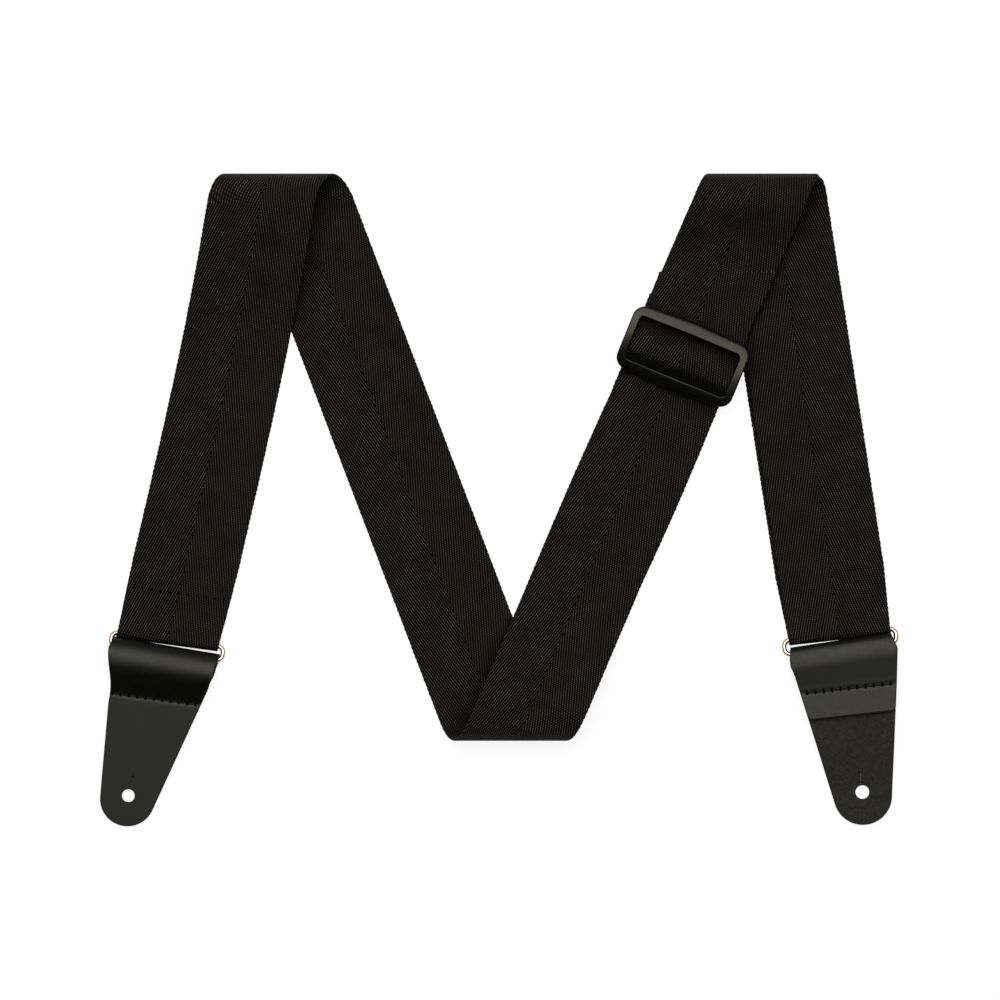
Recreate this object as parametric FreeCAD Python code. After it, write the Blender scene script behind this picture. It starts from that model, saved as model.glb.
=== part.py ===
import FreeCAD, Part

import math
import os
from collections import namedtuple

from FreeCAD import Matrix, Placement, Rotation, Vector

# Adjustable guitar strap of 2 inch webbing, laid out flat on a table in four legs.
# X runs to the right along the table, Y away from the leather ends, Z up from the table.
# All lengths are millimetres and all angles are degrees.

# Webbing
webbing_width = 50.8
webbing_thickness = 1.2
layer_gap = 0.3
seam_gap = 0.1
pinched_width = 49.2
return_sidestep = 0.85

# Legs of the lay: where each leg's centre line meets the tangent line of a fold
top_fold_y = 145.9
bottom_fold_y = -104.7
leg_1_top_x = -114.5
leg_2_top_x = -98.0
leg_2_bottom_x = -2.7
leg_3_bottom_x = 13.2
leg_3_top_x = 120.8
leg_4_top_x = 131.1
leg_1_top_slope = 0.165
leg_1_low_slope = 0.2345
roll_radius = 10.6

# How steeply the upper layer leaves each fold, and how gently it levels out
left_rise_angle = 17.0
left_ease_radius = 100.0
bottom_rise_angle = 24.0
bottom_ease_radius = 60.0
right_rise_angle = 35.0
right_ease_radius = 35.0
ramp_steepness = 1.4

# Rings of nickelled wire
wire_diameter = 2.4
bar_spacing = 7.2
ring_length = 56.6
ring_corner_radius = 3.0
running_gap = 0.3
left_ring_x = -160.4
left_ring_y = -70.5
left_bar_angle = -7.7
right_ring_x = 163.9
right_ring_y = -68.2
right_bar_angle = 6.4

# Sewn loop of webbing on the left ring, and the plain turn on the right ring
loop_rise_angle = 13.0
loop_ease_radius = 20.0
loop_tail_length = 27.0
loop_seam_place = 22.8
loop_step_length = 9.0
ring_turn_length = 30.0

# Leather ends
leather_thickness = 2.2
leather_bend_radius = 2.4
leather_fold_width = 48.0
leather_crest_angle = 25.0
leather_crest_radius = 11.0
left_leather_fall_angle = 20.0
right_leather_fall_angle = 27.0
leather_ease_radius = 6.0
flap_length = 31.8
left_tab_seam_place = 22.5
right_tab_seam_place = 19.4
tab_step_start = 4.0
tab_step_length = 30.0
tab_flare_place = 5.0
left_tip_radius = 13.25
right_tip_radius = 14.1
left_tip_distance = 72.5
right_tip_distance = 71.6
side_angle = 9.85
left_tab_angle = -14.9
right_tab_angle = 7.6
right_tab_shift = 1.1
button_hole_radius = 3.1
left_hole_distance = 70.9
right_hole_distance = 69.8
slit_length = 8.5
slit_width = 0.5

# Slider
slider_y = 69.2
slider_skew = 1.1
slider_side_gap = 0.3
window_height = 21.7
window_corner_radius = 2.2
end_bar_width = 4.1
long_bar_width = 4.6
long_bar_bulge = 1.5
frame_corner_radius = 6.0
frame_thickness = 2.8
frame_arch_radius = 50.0
apex_round_radius = 12.0
centre_bar_width = 3.6
centre_bar_thickness = 2.4
centre_bar_drop = 3.5
lug_width = 5.0
hump_reach = 11.5
slider_approach = 30.0
slider_entry_rise = 2.0
slider_tail_length = 22.0
slider_seam_place = 19.5
slider_step_length = 10.0

# Stitches
thread_size = 0.5
thread_clearance = 0.03
stitch_pitch = 4.1
stitch_length = 3.1
seam_margin = 4.0
tab_seam_margin = 2.1

# Worked out from the sizes above
half_thickness = webbing_thickness / 2
window_length = webbing_width + 2 * slider_side_gap
layer_pitch = webbing_thickness + layer_gap
seam_pitch = webbing_thickness + seam_gap
bar_loop_radius = wire_diameter / 2 + running_gap + half_thickness
webbing_bar_height = half_thickness + bar_loop_radius
leather_fold_radius = leather_bend_radius + leather_thickness / 2
leather_bar_height = leather_thickness / 2 + leather_fold_radius
leather_bar_setback = leather_bend_radius - wire_diameter / 2 - running_gap
ring_tilt = math.degrees(math.asin((leather_bar_height - webbing_bar_height) / bar_spacing))
leather_layer_pitch = leather_thickness + seam_gap

Piece = namedtuple("Piece", "d h heading length turn")
Station = namedtuple("Station", "centre ruling normal half_width")
Leg = namedtuple("Leg", "top_x top_y top_slope low_x low_y low_slope")
Bench = namedtuple("Bench", "origin across along up")
Tab = namedtuple(
    "Tab", "bar bar_angle angle shift tip_radius tip_distance hole_distance seam_place fall_angle flap_on_top")


def sine(angle):
    return math.sin(math.radians(angle))


def cosine(angle):
    return math.cos(math.radians(angle))


def tangent(angle):
    return math.tan(math.radians(angle))


# ---------------------------------------------------------------- paths in side view


def straight(length):
    return (length, 0.0)


def bend(radius, turn):
    return (radius * math.radians(abs(turn)), turn)


def climb(length, rise):
    """An S bend that gains `rise` over `length` and starts and ends level."""
    angle = math.degrees(math.atan(abs(rise) / length)) * ramp_steepness
    versine = 1 - cosine(angle)
    radius = (length * sine(angle) - abs(rise) * cosine(angle)) / (2 * versine)
    middle = (abs(rise) * sine(angle) - versine * length) / versine
    way = math.copysign(angle, rise)
    return [bend(radius, way), straight(middle), bend(radius, -way)]


def locate(piece, share):
    """Distance, height and heading at a share of the way along one piece."""
    if piece.turn == 0:
        run = piece.length * share
        return (piece.d + run * cosine(piece.heading), piece.h + run * sine(piece.heading), piece.heading)
    radius = piece.length / math.radians(piece.turn)
    heading = piece.heading + piece.turn * share
    return (
        piece.d + radius * (sine(heading) - sine(piece.heading)),
        piece.h - radius * (cosine(heading) - cosine(piece.heading)),
        heading,
    )


def lay(d, h, heading, moves):
    """Pieces laid end to end from a point and heading."""
    pieces = []
    for length, turn in moves:
        piece = Piece(d, h, heading, length, turn)
        pieces.append(piece)
        d, h, heading = locate(piece, 1.0)
    return pieces


def beside(pieces, distance):
    """The same path moved sideways, to the left of its heading."""
    return [
        Piece(
            piece.d - sine(piece.heading) * distance,
            piece.h + cosine(piece.heading) * distance,
            piece.heading,
            piece.length - distance * math.radians(piece.turn),
            piece.turn,
        )
        for piece in pieces
    ]


def turn_back(low, bends, rise_angle, ease_radius, level, slope):
    """A layer that runs out at height `low`, rolls over and comes back down.

    The roll starts at d = 0 and is one or more bends that add up to 180 degrees and
    rise_angle. The layer comes down at rise_angle and eases on to the line
    h = level + d * tan(slope).
    """
    roll = lay(0.0, low, 0.0, bends)
    d, h, heading = path_end(roll)
    ease_d = ease_radius * (sine(rise_angle) - sine(slope))
    ease_h = ease_radius * (cosine(slope) - cosine(rise_angle))
    height_left = h - ease_h - level - tangent(slope) * (d - ease_d)
    fall = height_left / (sine(rise_angle) - tangent(slope) * cosine(rise_angle))
    return roll + lay(d, h, heading, [straight(fall), bend(ease_radius, slope - rise_angle)])


def path_end(pieces):
    return locate(pieces[-1], 1.0)


# ---------------------------------------------------------------- solids along a path


def section(station, thickness):
    side = station.ruling * station.half_width
    rise = station.normal * (thickness / 2)
    centre = station.centre
    corners = [centre - side - rise, centre + side - rise, centre + side + rise, centre - side + rise]
    return Part.makePolygon(corners + corners[:1])


def ribbon(spans):
    """A webbing solid through spans of stations that share their end stations."""
    lofts = []
    for span in spans:
        wires = [section(station, webbing_thickness) for station in span]
        lofts.append(Part.makeLoft(wires, True, len(span) == 2))
    if len(lofts) == 1:
        return lofts[0]
    return lofts[0].multiFuse(lofts[1:]).removeSplitter()


def spans_of(pieces, to_station, straight_count=2):
    """Stations along each piece: every 15 degrees or closer on a bend."""
    total = sum(piece.length for piece in pieces)
    spans = []
    run = 0.0
    for piece in pieces:
        count = straight_count
        if piece.turn:
            count = 2 + math.ceil(abs(piece.turn) / 15)
        span = []
        for step in range(count):
            share = step / (count - 1)
            d, h, heading = locate(piece, share)
            span.append(to_station(d, h, heading, (run + piece.length * share) / total))
        spans.append(span)
        run += piece.length
    return spans


def strip_edges(pieces, offset):
    """Exact edges of a path moved sideways, with the point at each end."""
    edges = []
    for piece in beside(pieces, offset):
        points = [Vector(*locate(piece, share)[:2], 0) for share in (0, 0.5, 1)]
        if piece.turn == 0:
            edges.append(Part.makeLine(points[0], points[2]))
        else:
            edges.append(Part.Arc(*points).toShape())
    return edges


def strip_face(pieces, thickness):
    """The side view of a strip: a face in the X-Y plane with X as d and Y as h."""
    left = strip_edges(pieces, thickness / 2)
    right = strip_edges(pieces, -thickness / 2)
    start = Part.makeLine(left[0].Vertexes[0].Point, right[0].Vertexes[0].Point)
    finish = Part.makeLine(left[-1].Vertexes[-1].Point, right[-1].Vertexes[-1].Point)
    return Part.Face(Part.Wire(Part.__sortEdges__(left + right + [start, finish])))


# ---------------------------------------------------------------- local benches


def bench_at(origin, turn, tilt=0.0):
    """Axes turned about Z, then tilted about X."""
    rotation = Rotation(Vector(1, 0, 0), tilt).multiply(Rotation(Vector(0, 0, 1), turn))
    axes = [rotation.multVec(axis) for axis in (Vector(1, 0, 0), Vector(0, 1, 0), Vector(0, 0, 1))]
    return Bench(origin, *axes)


def on_bench(bench, across, along, up):
    return bench.origin + bench.across * across + bench.along * along + bench.up * up


def to_bench(bench, shape):
    """Move a shape drawn with X across, Y along and Z up on to a bench."""
    a, b, c, o = bench.across, bench.along, bench.up, bench.origin
    matrix = Matrix(a.x, b.x, c.x, o.x, a.y, b.y, c.y, o.y, a.z, b.z, c.z, o.z, 0, 0, 0, 1)
    moved = shape.copy()
    moved.Placement = Placement(matrix).multiply(shape.Placement)
    return moved


def bench_stations(bench, across, half_width):
    """Stations ruled along the bench's across axis, placed by two functions of d and share."""

    def to_station(d, h, heading, share):
        centre = on_bench(bench, across(d, share), d, h)
        normal = bench.up * cosine(heading) - bench.along * sine(heading)
        return Station(centre, bench.across, normal, half_width(d, share))

    return to_station


def side_profile(bench, face, width):
    """A side view, drawn with X along and Y up, made into a strip of that width on a bench."""
    upright = face.copy()
    upright.rotate(Vector(0, 0, 0), Vector(1, 1, 1), 120)
    upright.translate(Vector(-width / 2, 0, 0))
    return to_bench(bench, upright.extrude(Vector(width, 0, 0)))


# ---------------------------------------------------------------- legs of the lay


def straight_leg(top_x, top_y, low_x, low_y):
    slope = (top_x - low_x) / (top_y - low_y)
    return Leg(top_x, top_y, slope, low_x, low_y, slope)


def leg_place(leg, y):
    """X of a leg's centre line and its slope dx/dy: a cubic between its two ends."""
    height = leg.top_y - leg.low_y
    t = (y - leg.low_y) / height
    rise = leg.top_x - leg.low_x
    low = leg.low_slope * height
    top = leg.top_slope * height
    square = 3 * rise - 2 * low - top
    cube = low + top - 2 * rise
    x = leg.low_x + t * (low + t * (square + t * cube))
    slope = (low + t * (2 * square + 3 * t * cube)) / height
    return x, slope


def leg_x(leg, y):
    return leg_place(leg, y)[0]


def leg_half_width(leg, y):
    """Half of the webbing measured along X, which is longer on a leaning leg."""
    return webbing_width / 2 * math.hypot(1, leg_place(leg, y)[1])


def leg_stations(fold_y, side, leg, sidestep=0.0):
    """Stations ruled along X on a leg, with d counted outward from a fold's tangent line."""

    def to_station(d, h, heading, share):
        y = fold_y + side * d
        normal = Vector(0, -side * sine(heading), cosine(heading))
        centre = Vector(leg_x(leg, y) + sidestep, y, h)
        return Station(centre, Vector(1, 0, 0), normal, leg_half_width(leg, y))

    return to_station


def fold_stations(fold_y, side, lower_leg, upper_leg, roll, sidestep=0.0):
    """Stations ruled along X round a roll, drifting sideways from one leg to the other."""
    upper_y = fold_y + side * path_end([roll])[0]
    low_x, low_slope = leg_place(lower_leg, fold_y)
    top_x, top_slope = leg_place(upper_leg, upper_y)
    start_rate = side * low_slope * roll.length
    end_rate = -side * top_slope * roll.length * cosine(roll.turn - 180)
    drift = Leg(top_x, 1.0, end_rate, low_x + sidestep, 0.0, start_rate)
    low_half = leg_half_width(lower_leg, fold_y)
    top_half = leg_half_width(upper_leg, upper_y)

    def to_station(d, h, heading, share):
        normal = Vector(0, -side * sine(heading), cosine(heading))
        centre = Vector(leg_x(drift, share), fold_y + side * d, h)
        return Station(centre, Vector(1, 0, 0), normal, low_half + (top_half - low_half) * share)

    return to_station


# Rings and the benches at their bars. Along runs from the webbing towards the leather.
half_spread = bar_spacing / 2 * cosine(ring_tilt)


def ring_benches(x, y, bar_angle):
    """The ring's centre, the webbing bar and the leather roll of one end."""
    middle_height = (webbing_bar_height + leather_bar_height) / 2
    ring = bench_at(Vector(x, y, middle_height), 180 + bar_angle)
    webbing_bar = bench_at(ring.origin - ring.along * half_spread, 180 + bar_angle)
    webbing_bar.origin.z = 0
    leather_bar = bench_at(ring.origin + ring.along * half_spread, 180 + bar_angle)
    leather_bar.origin.z = 0
    roll_origin = leather_bar.origin + ring.along * leather_bar_setback
    leather_roll = bench_at(roll_origin, bar_angle)
    return ring, webbing_bar, leather_bar, leather_roll


left_ring_bench, left_bar, left_leather_bar, left_leather_roll = ring_benches(
    left_ring_x, left_ring_y, left_bar_angle)
right_ring_bench, right_bar, right_leather_bar, right_leather_roll = ring_benches(
    right_ring_x, right_ring_y, right_bar_angle)
left_tab = Tab(
    left_leather_bar, left_bar_angle, left_tab_angle, 0.0, left_tip_radius, left_tip_distance,
    left_hole_distance, left_tab_seam_place, left_leather_fall_angle, False)
right_tab = Tab(
    right_leather_bar, right_bar_angle, right_tab_angle, right_tab_shift, right_tip_radius,
    right_tip_distance, right_hole_distance, right_tab_seam_place, right_leather_fall_angle, True)

left_leg_angle = -math.degrees(math.atan(leg_1_low_slope))
left_reach = loop_tail_length + loop_step_length
left_drift = -tangent(left_leg_angle - left_bar_angle)
leg_1_low = on_bench(left_bar, -left_drift * left_reach, -left_reach, 0)
leg_1 = Leg(leg_1_top_x, top_fold_y, leg_1_top_slope, leg_1_low.x, leg_1_low.y, leg_1_low_slope)
leg_2 = straight_leg(leg_2_top_x, top_fold_y, leg_2_bottom_x, bottom_fold_y)
leg_3 = straight_leg(leg_3_top_x, top_fold_y, leg_3_bottom_x, bottom_fold_y)
leg_4 = straight_leg(leg_4_top_x, top_fold_y, right_bar.origin.x, right_bar.origin.y)
right_drift = math.tan(math.atan(leg_4.low_slope) + math.radians(right_bar_angle))

# The third leg leaves the table where the bottom fold has eased out, and climbs on to leg 4.
flat_bottom_turn = turn_back(
    half_thickness, [bend(roll_radius, 180 + bottom_rise_angle)],
    bottom_rise_angle, bottom_ease_radius, half_thickness, 0.0)
lift_start_y = bottom_fold_y - path_end(flat_bottom_turn)[0]
edge_gap = leg_4_top_x - return_sidestep - leg_half_width(leg_4, top_fold_y)
edge_gap -= leg_3_top_x + leg_half_width(leg_3, top_fold_y)
crossing_y = top_fold_y + edge_gap / (leg_3.top_slope - leg_4.top_slope)
clear_of_leg_4 = 2 * layer_pitch
lift_angle = math.degrees(math.atan(clear_of_leg_4 / (crossing_y - lift_start_y)))


def leg_3_level(y, level):
    """Height of a layer `level` above the sloping underside of the third leg."""
    return (y - lift_start_y) * tangent(lift_angle) + level / cosine(lift_angle)


leg_3_angle = math.degrees(math.atan(leg_3.top_slope))
slider_foot = Vector(leg_x(leg_3, slider_y), slider_y, leg_3_level(slider_y, 0))
slider_bench = bench_at(slider_foot, slider_skew - leg_3_angle, lift_angle)

# Levels of the layers above the slider bench, counted at mid thickness
strap_level = half_thickness + seam_pitch
main_level = strap_level + layer_pitch
frame_underside = main_level + half_thickness + layer_gap
frame_half_height = window_height / 2 + long_bar_width + long_bar_bulge
frame_inner_radius = frame_arch_radius - frame_thickness / 2
frame_middle = frame_underside + frame_arch_radius - math.sqrt(frame_inner_radius**2 - frame_half_height**2)
centre_bar_level = frame_middle - centre_bar_drop
wrap_radius = centre_bar_thickness / 2 + layer_gap + half_thickness
wrap_offset = (centre_bar_width - centre_bar_thickness) / 2


# ---------------------------------------------------------------- paths of the webbing


def leg_1_turn():
    return turn_back(
        half_thickness, [bend(roll_radius, 180 + left_rise_angle)],
        left_rise_angle, left_ease_radius, half_thickness, 0.0)


def leg_3_bottom_turn():
    return turn_back(
        half_thickness, [bend(roll_radius, 180 + bottom_rise_angle)],
        bottom_rise_angle, bottom_ease_radius,
        leg_3_level(bottom_fold_y, half_thickness), -lift_angle)


def leg_3_top_turn(depth):
    """Depth 0 is the outer layer and depth 1 the returning layer inside it."""
    inward = depth * layer_pitch
    level = leg_3_level(top_fold_y, half_thickness + layer_pitch - inward)
    return turn_back(
        half_thickness + inward, [bend(roll_radius - inward, 180 + right_rise_angle)],
        right_rise_angle, right_ease_radius + inward, level, lift_angle)


def bar_wrap():
    """The sewn loop on the slider's centre bar, from its strap end round to its tail end."""
    top = centre_bar_level + wrap_radius
    low = centre_bar_level - wrap_radius
    strap = lay(0.0, top, 0.0, climb(hump_reach, strap_level - top))
    tail_fall = climb(slider_step_length, half_thickness - low)
    tail_straight = straight(slider_tail_length + wrap_offset - slider_step_length)
    around = [straight(wrap_offset), bend(wrap_radius, 180)] + tail_fall + [tail_straight]
    return strap, lay(0.0, top, 180.0, around)


def full_width(d, share):
    return webbing_width / 2


def centred(d, share):
    return 0.0


on_slider = bench_stations(slider_bench, centred, full_width)


def fade(d, reach):
    """1 at the far end of an end loop, 0 at the ring bar and beyond it."""
    return min(1.0, max(0.0, -d / reach))


def pinched(reach, drift):
    """Half width along the bar: full on the leg, pinched where it goes through the ring."""
    full = webbing_width / 2 * math.hypot(1, drift)
    return lambda d, share: pinched_width / 2 + (full - pinched_width / 2) * fade(d, reach)


# ---------------------------------------------------------------- webbing nodes


def webbing_leg_1():
    turn = leg_1_turn()
    to_station = leg_stations(top_fold_y, 1, leg_1)
    rise = spans_of(turn[1:], to_station, 4)
    end_d = path_end(turn)[0]
    low_d = leg_1.low_y - top_fold_y
    flat = Piece(end_d, half_thickness, 180.0, end_d - low_d, 0.0)
    stations = spans_of([flat], to_station, 9)[0]
    on_bar = bench_stations(left_bar, lambda d, share: left_drift * d, pinched(left_reach, left_drift))
    stations[-1] = on_bar(-left_reach, half_thickness, 180.0, 0.0)
    for index, station in enumerate(stations):
        lean = left_bar_angle * index / (len(stations) - 1)
        stations[index] = station._replace(ruling=Vector(cosine(lean), sine(lean), 0))
    return ribbon(rise + [stations])


def left_end_path():
    """The loop on the left ring, from the tail's end round the bar to the leg."""
    sewn_level = half_thickness + seam_pitch
    turn = turn_back(
        half_thickness, [bend(bar_loop_radius, 180 + loop_rise_angle)],
        loop_rise_angle, loop_ease_radius, sewn_level, 0.0)
    tail = Piece(-loop_tail_length, half_thickness, 0.0, loop_tail_length, 0.0)
    end_d = path_end(turn)[0]
    level = Piece(end_d, sewn_level, 180.0, end_d + loop_tail_length, 0.0)
    step = lay(-loop_tail_length, sewn_level, 180.0, climb(loop_step_length, seam_pitch))
    return [tail] + turn + [level] + step


def webbing_left_end_loop():
    to_station = bench_stations(
        left_bar, lambda d, share: left_drift * d, pinched(left_reach, left_drift))
    stitched = ribbon(spans_of(left_end_path(), to_station))
    return stitched.cut(left_loop_seam(thread_clearance))


def webbing_fold_top_left():
    turn = leg_1_turn()
    return ribbon(spans_of(turn[:1], fold_stations(top_fold_y, 1, leg_2, leg_1, turn[0])))


def level_strip(start, finish):
    """A flat strip between two stations that lie at one height."""
    wire = Part.makePolygon([
        start.centre - start.ruling * start.half_width,
        start.centre + start.ruling * start.half_width,
        finish.centre + finish.ruling * finish.half_width,
        finish.centre - finish.ruling * finish.half_width,
        start.centre - start.ruling * start.half_width,
    ])
    strip = Part.Face(wire).extrude(Vector(0, 0, webbing_thickness))
    strip.translate(Vector(0, 0, -half_thickness))
    return strip


def level_station(leg, y, sidestep, height):
    centre = Vector(leg_x(leg, y) + sidestep, y, height)
    return Station(centre, Vector(1, 0, 0), Vector(0, 0, 1), leg_half_width(leg, y))


def webbing_leg_2():
    return level_strip(
        level_station(leg_2, top_fold_y, 0, half_thickness),
        level_station(leg_2, bottom_fold_y, 0, half_thickness))


def webbing_fold_bottom():
    turn = leg_3_bottom_turn()
    return ribbon(spans_of(turn[:1], fold_stations(bottom_fold_y, -1, leg_2, leg_3, turn[0])))


def webbing_leg_3_lower():
    turn = leg_3_bottom_turn()
    rise = spans_of(turn[1:], leg_stations(bottom_fold_y, -1, leg_3))
    entry_length = slider_approach - hump_reach
    entry = lay(-slider_approach, half_thickness, 0.0, climb(entry_length, slider_entry_rise))
    entry_spans = spans_of(entry, on_slider)
    return ribbon(rise + [[rise[-1][-1], entry_spans[0][0]]] + entry_spans)


def webbing_over_slider_bar():
    low = half_thickness + slider_entry_rise
    top = centre_bar_level + wrap_radius + layer_pitch
    rise = lay(-hump_reach, low, 0.0, climb(hump_reach, top - low))
    fall = beside(bar_wrap()[0], layer_pitch)
    return ribbon(spans_of(rise + fall, on_slider))


def upper_spans(depth, start_level, drop_start):
    """One layer of the third leg from the slider up to the foot of the roll."""
    level = half_thickness + (1 - depth) * layer_pitch
    drop_length = slider_step_length
    drop = lay(drop_start, start_level, 0.0, climb(drop_length, level - start_level))
    drop_spans = spans_of(drop, on_slider)
    turn = leg_3_top_turn(depth)
    rise = spans_of(turn[1:], leg_stations(top_fold_y, 1, leg_3))
    return drop_spans, [[drop_spans[-1][-1], rise[-1][-1]]] + rise


def webbing_leg_3_upper():
    drop_start = slider_tail_length + layer_gap
    drop, rest = upper_spans(0, main_level, drop_start)
    level = Piece(hump_reach, main_level, 0.0, drop_start - hump_reach, 0.0)
    return ribbon(spans_of([level], on_slider) + drop + rest)


def webbing_return_leg_3():
    drop, rest = upper_spans(1, strap_level, slider_tail_length + layer_gap)
    return ribbon(drop + rest)


def webbing_slider_loop():
    strap, around = bar_wrap()
    level = Piece(hump_reach, strap_level, 0.0, slider_tail_length + layer_gap - hump_reach, 0.0)
    spans = spans_of(strap + [level], on_slider)
    stitched = ribbon(spans).fuse(ribbon(spans_of(around, on_slider))).removeSplitter()
    return stitched.cut(slider_loop_seam(thread_clearance))


def webbing_fold_top_right():
    roll = leg_3_top_turn(0)[:1]
    to_station = fold_stations(top_fold_y, 1, leg_4, leg_3, roll[0], -return_sidestep)
    return ribbon(spans_of(roll, to_station))


def webbing_return_fold():
    roll = leg_3_top_turn(1)[:1]
    to_station = fold_stations(top_fold_y, 1, leg_4, leg_3, roll[0], return_sidestep)
    return ribbon(spans_of(roll, to_station))


def right_turn_path():
    """Round the right ring, from the lower layer of the fourth leg to the returning layer."""
    level = half_thickness + layer_pitch
    turn = turn_back(
        half_thickness, [bend(bar_loop_radius, 180 + loop_rise_angle)],
        loop_rise_angle, loop_ease_radius, level, 0.0)
    arrive = Piece(-ring_turn_length, half_thickness, 0.0, ring_turn_length, 0.0)
    end_d = path_end(turn)[0]
    leave = Piece(end_d, level, 180.0, end_d + ring_turn_length, 0.0)
    return [arrive] + turn + [leave]


def right_turn_stations():
    def across(d, share):
        sidestep = return_sidestep if share < 0.5 else -return_sidestep
        return right_drift * d + sidestep * fade(d, ring_turn_length)

    return bench_stations(right_bar, across, pinched(ring_turn_length, right_drift))


def webbing_ring_turn():
    return ribbon(spans_of(right_turn_path(), right_turn_stations()))


def fourth_leg_layer(sidestep, height, end_station):
    """One layer of the fourth leg, from the fold down to the turn round the ring."""
    start = level_station(leg_4, top_fold_y, sidestep, height)
    return level_strip(start, end_station._replace(ruling=end_station.ruling * -1))


def webbing_leg_4():
    first = spans_of(right_turn_path(), right_turn_stations())[0][0]
    return fourth_leg_layer(-return_sidestep, half_thickness, first)


def webbing_return_leg_4():
    last = spans_of(right_turn_path(), right_turn_stations())[-1][-1]
    return fourth_leg_layer(return_sidestep, half_thickness + layer_pitch, last)


# ---------------------------------------------------------------- stitches


def stitch_row(row_width, along, low, high, clearance):
    """Closed stitches from low to high, side by side: each is a loop of thread.

    With a clearance the loops are fatter, to cut the needle holes that the thread fills.
    """
    count = int((row_width + stitch_pitch - stitch_length) / stitch_pitch)
    outer_half = (stitch_length + thread_size) / 2 + clearance
    inner_half = (stitch_length - thread_size) / 2 - clearance
    depth = thread_size + 2 * clearance
    inner_low = low + thread_size + clearance
    inner_high = high - thread_size - clearance
    stitches = []
    for index in range(count):
        middle = (index - (count - 1) / 2) * stitch_pitch
        loop = Part.makeBox(
            2 * outer_half, depth, high - low + 2 * clearance,
            Vector(middle - outer_half, along - depth / 2, low - clearance))
        eye = Part.makeBox(
            2 * inner_half, depth, inner_high - inner_low,
            Vector(middle - inner_half, along - depth / 2, inner_low))
        stitches.append(loop.cut(eye))
    return Part.makeCompound(stitches)


def left_loop_seam(clearance=0.0):
    width = pinched_width - 2 * seam_margin
    top = webbing_thickness + seam_pitch + thread_size / 2
    row = stitch_row(width, -loop_seam_place, 0.0, top, clearance)
    row.translate(Vector(-left_drift * loop_seam_place, 0, 0))
    return to_bench(left_bar, row)


def slider_loop_seam(clearance=0.0):
    width = webbing_width - 2 * seam_margin
    top = webbing_thickness + seam_pitch
    row = stitch_row(width, slider_seam_place, 0.0, top, clearance)
    return to_bench(slider_bench, row)


def tab_seam(tab, clearance=0.0):
    """The seam runs parallel to the ring bar, centred on the tab's own axis."""
    slide = tab.shift + tangent(tab.angle - tab.bar_angle) * tab.seam_place
    top = leather_thickness + leather_layer_pitch + thread_size / 2
    width = 2 * (tab_half_width(tab, tab.seam_place) - tab_seam_margin)
    row = stitch_row(width, tab.seam_place, 0.0, top, clearance)
    row.translate(Vector(-slide, 0, 0))
    return to_bench(tab.bar, row)


# ---------------------------------------------------------------- leather ends


def tab_half_width(tab, distance):
    """Half width of a leather end, square to its axis, at a distance from the ring bar."""
    return tab.tip_radius / cosine(side_angle) + (tab.tip_distance - distance) * tangent(side_angle)


def tab_axis(tab):
    """Axes of a leather end: from the ring bar towards its tip."""
    axis = bench_at(tab.bar.origin, 180 + tab.angle)
    return axis._replace(origin=axis.origin - axis.across * tab.shift)


def tab_outline(tab, height):
    """Plan of a leather end as a tall prism: narrow in the ring, flared, then tapered to its tip."""
    axis = tab_axis(tab)
    bar_reach = leather_fold_radius + leather_thickness
    half_fold = leather_fold_width / 2
    shoulder = tab_half_width(tab, tab_flare_place)
    tangent_along = tab.tip_distance + tab.tip_radius * sine(side_angle)
    tangent_half = tab.tip_radius * cosine(side_angle)
    left = [
        on_bench(tab.bar, -half_fold, -2 * bar_reach, 0),
        on_bench(tab.bar, -half_fold, -bar_reach / 2, 0),
        on_bench(axis, -shoulder, tab_flare_place, 0),
        on_bench(axis, -tangent_half, tangent_along, 0),
    ]
    right = [
        on_bench(axis, tangent_half, tangent_along, 0),
        on_bench(axis, shoulder, tab_flare_place, 0),
        on_bench(tab.bar, half_fold, -bar_reach / 2, 0),
        on_bench(tab.bar, half_fold, -2 * bar_reach, 0),
    ]
    tip_end = on_bench(axis, 0, tab.tip_distance + tab.tip_radius, 0)
    edges = [Part.makeLine(a, b) for a, b in zip(left, left[1:])]
    edges.append(Part.Arc(left[-1], tip_end, right[0]).toShape())
    edges += [Part.makeLine(a, b) for a, b in zip(right, right[1:])]
    edges.append(Part.makeLine(right[-1], left[0]))
    return Part.Face(Part.Wire(edges)).extrude(Vector(0, 0, height))


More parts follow.
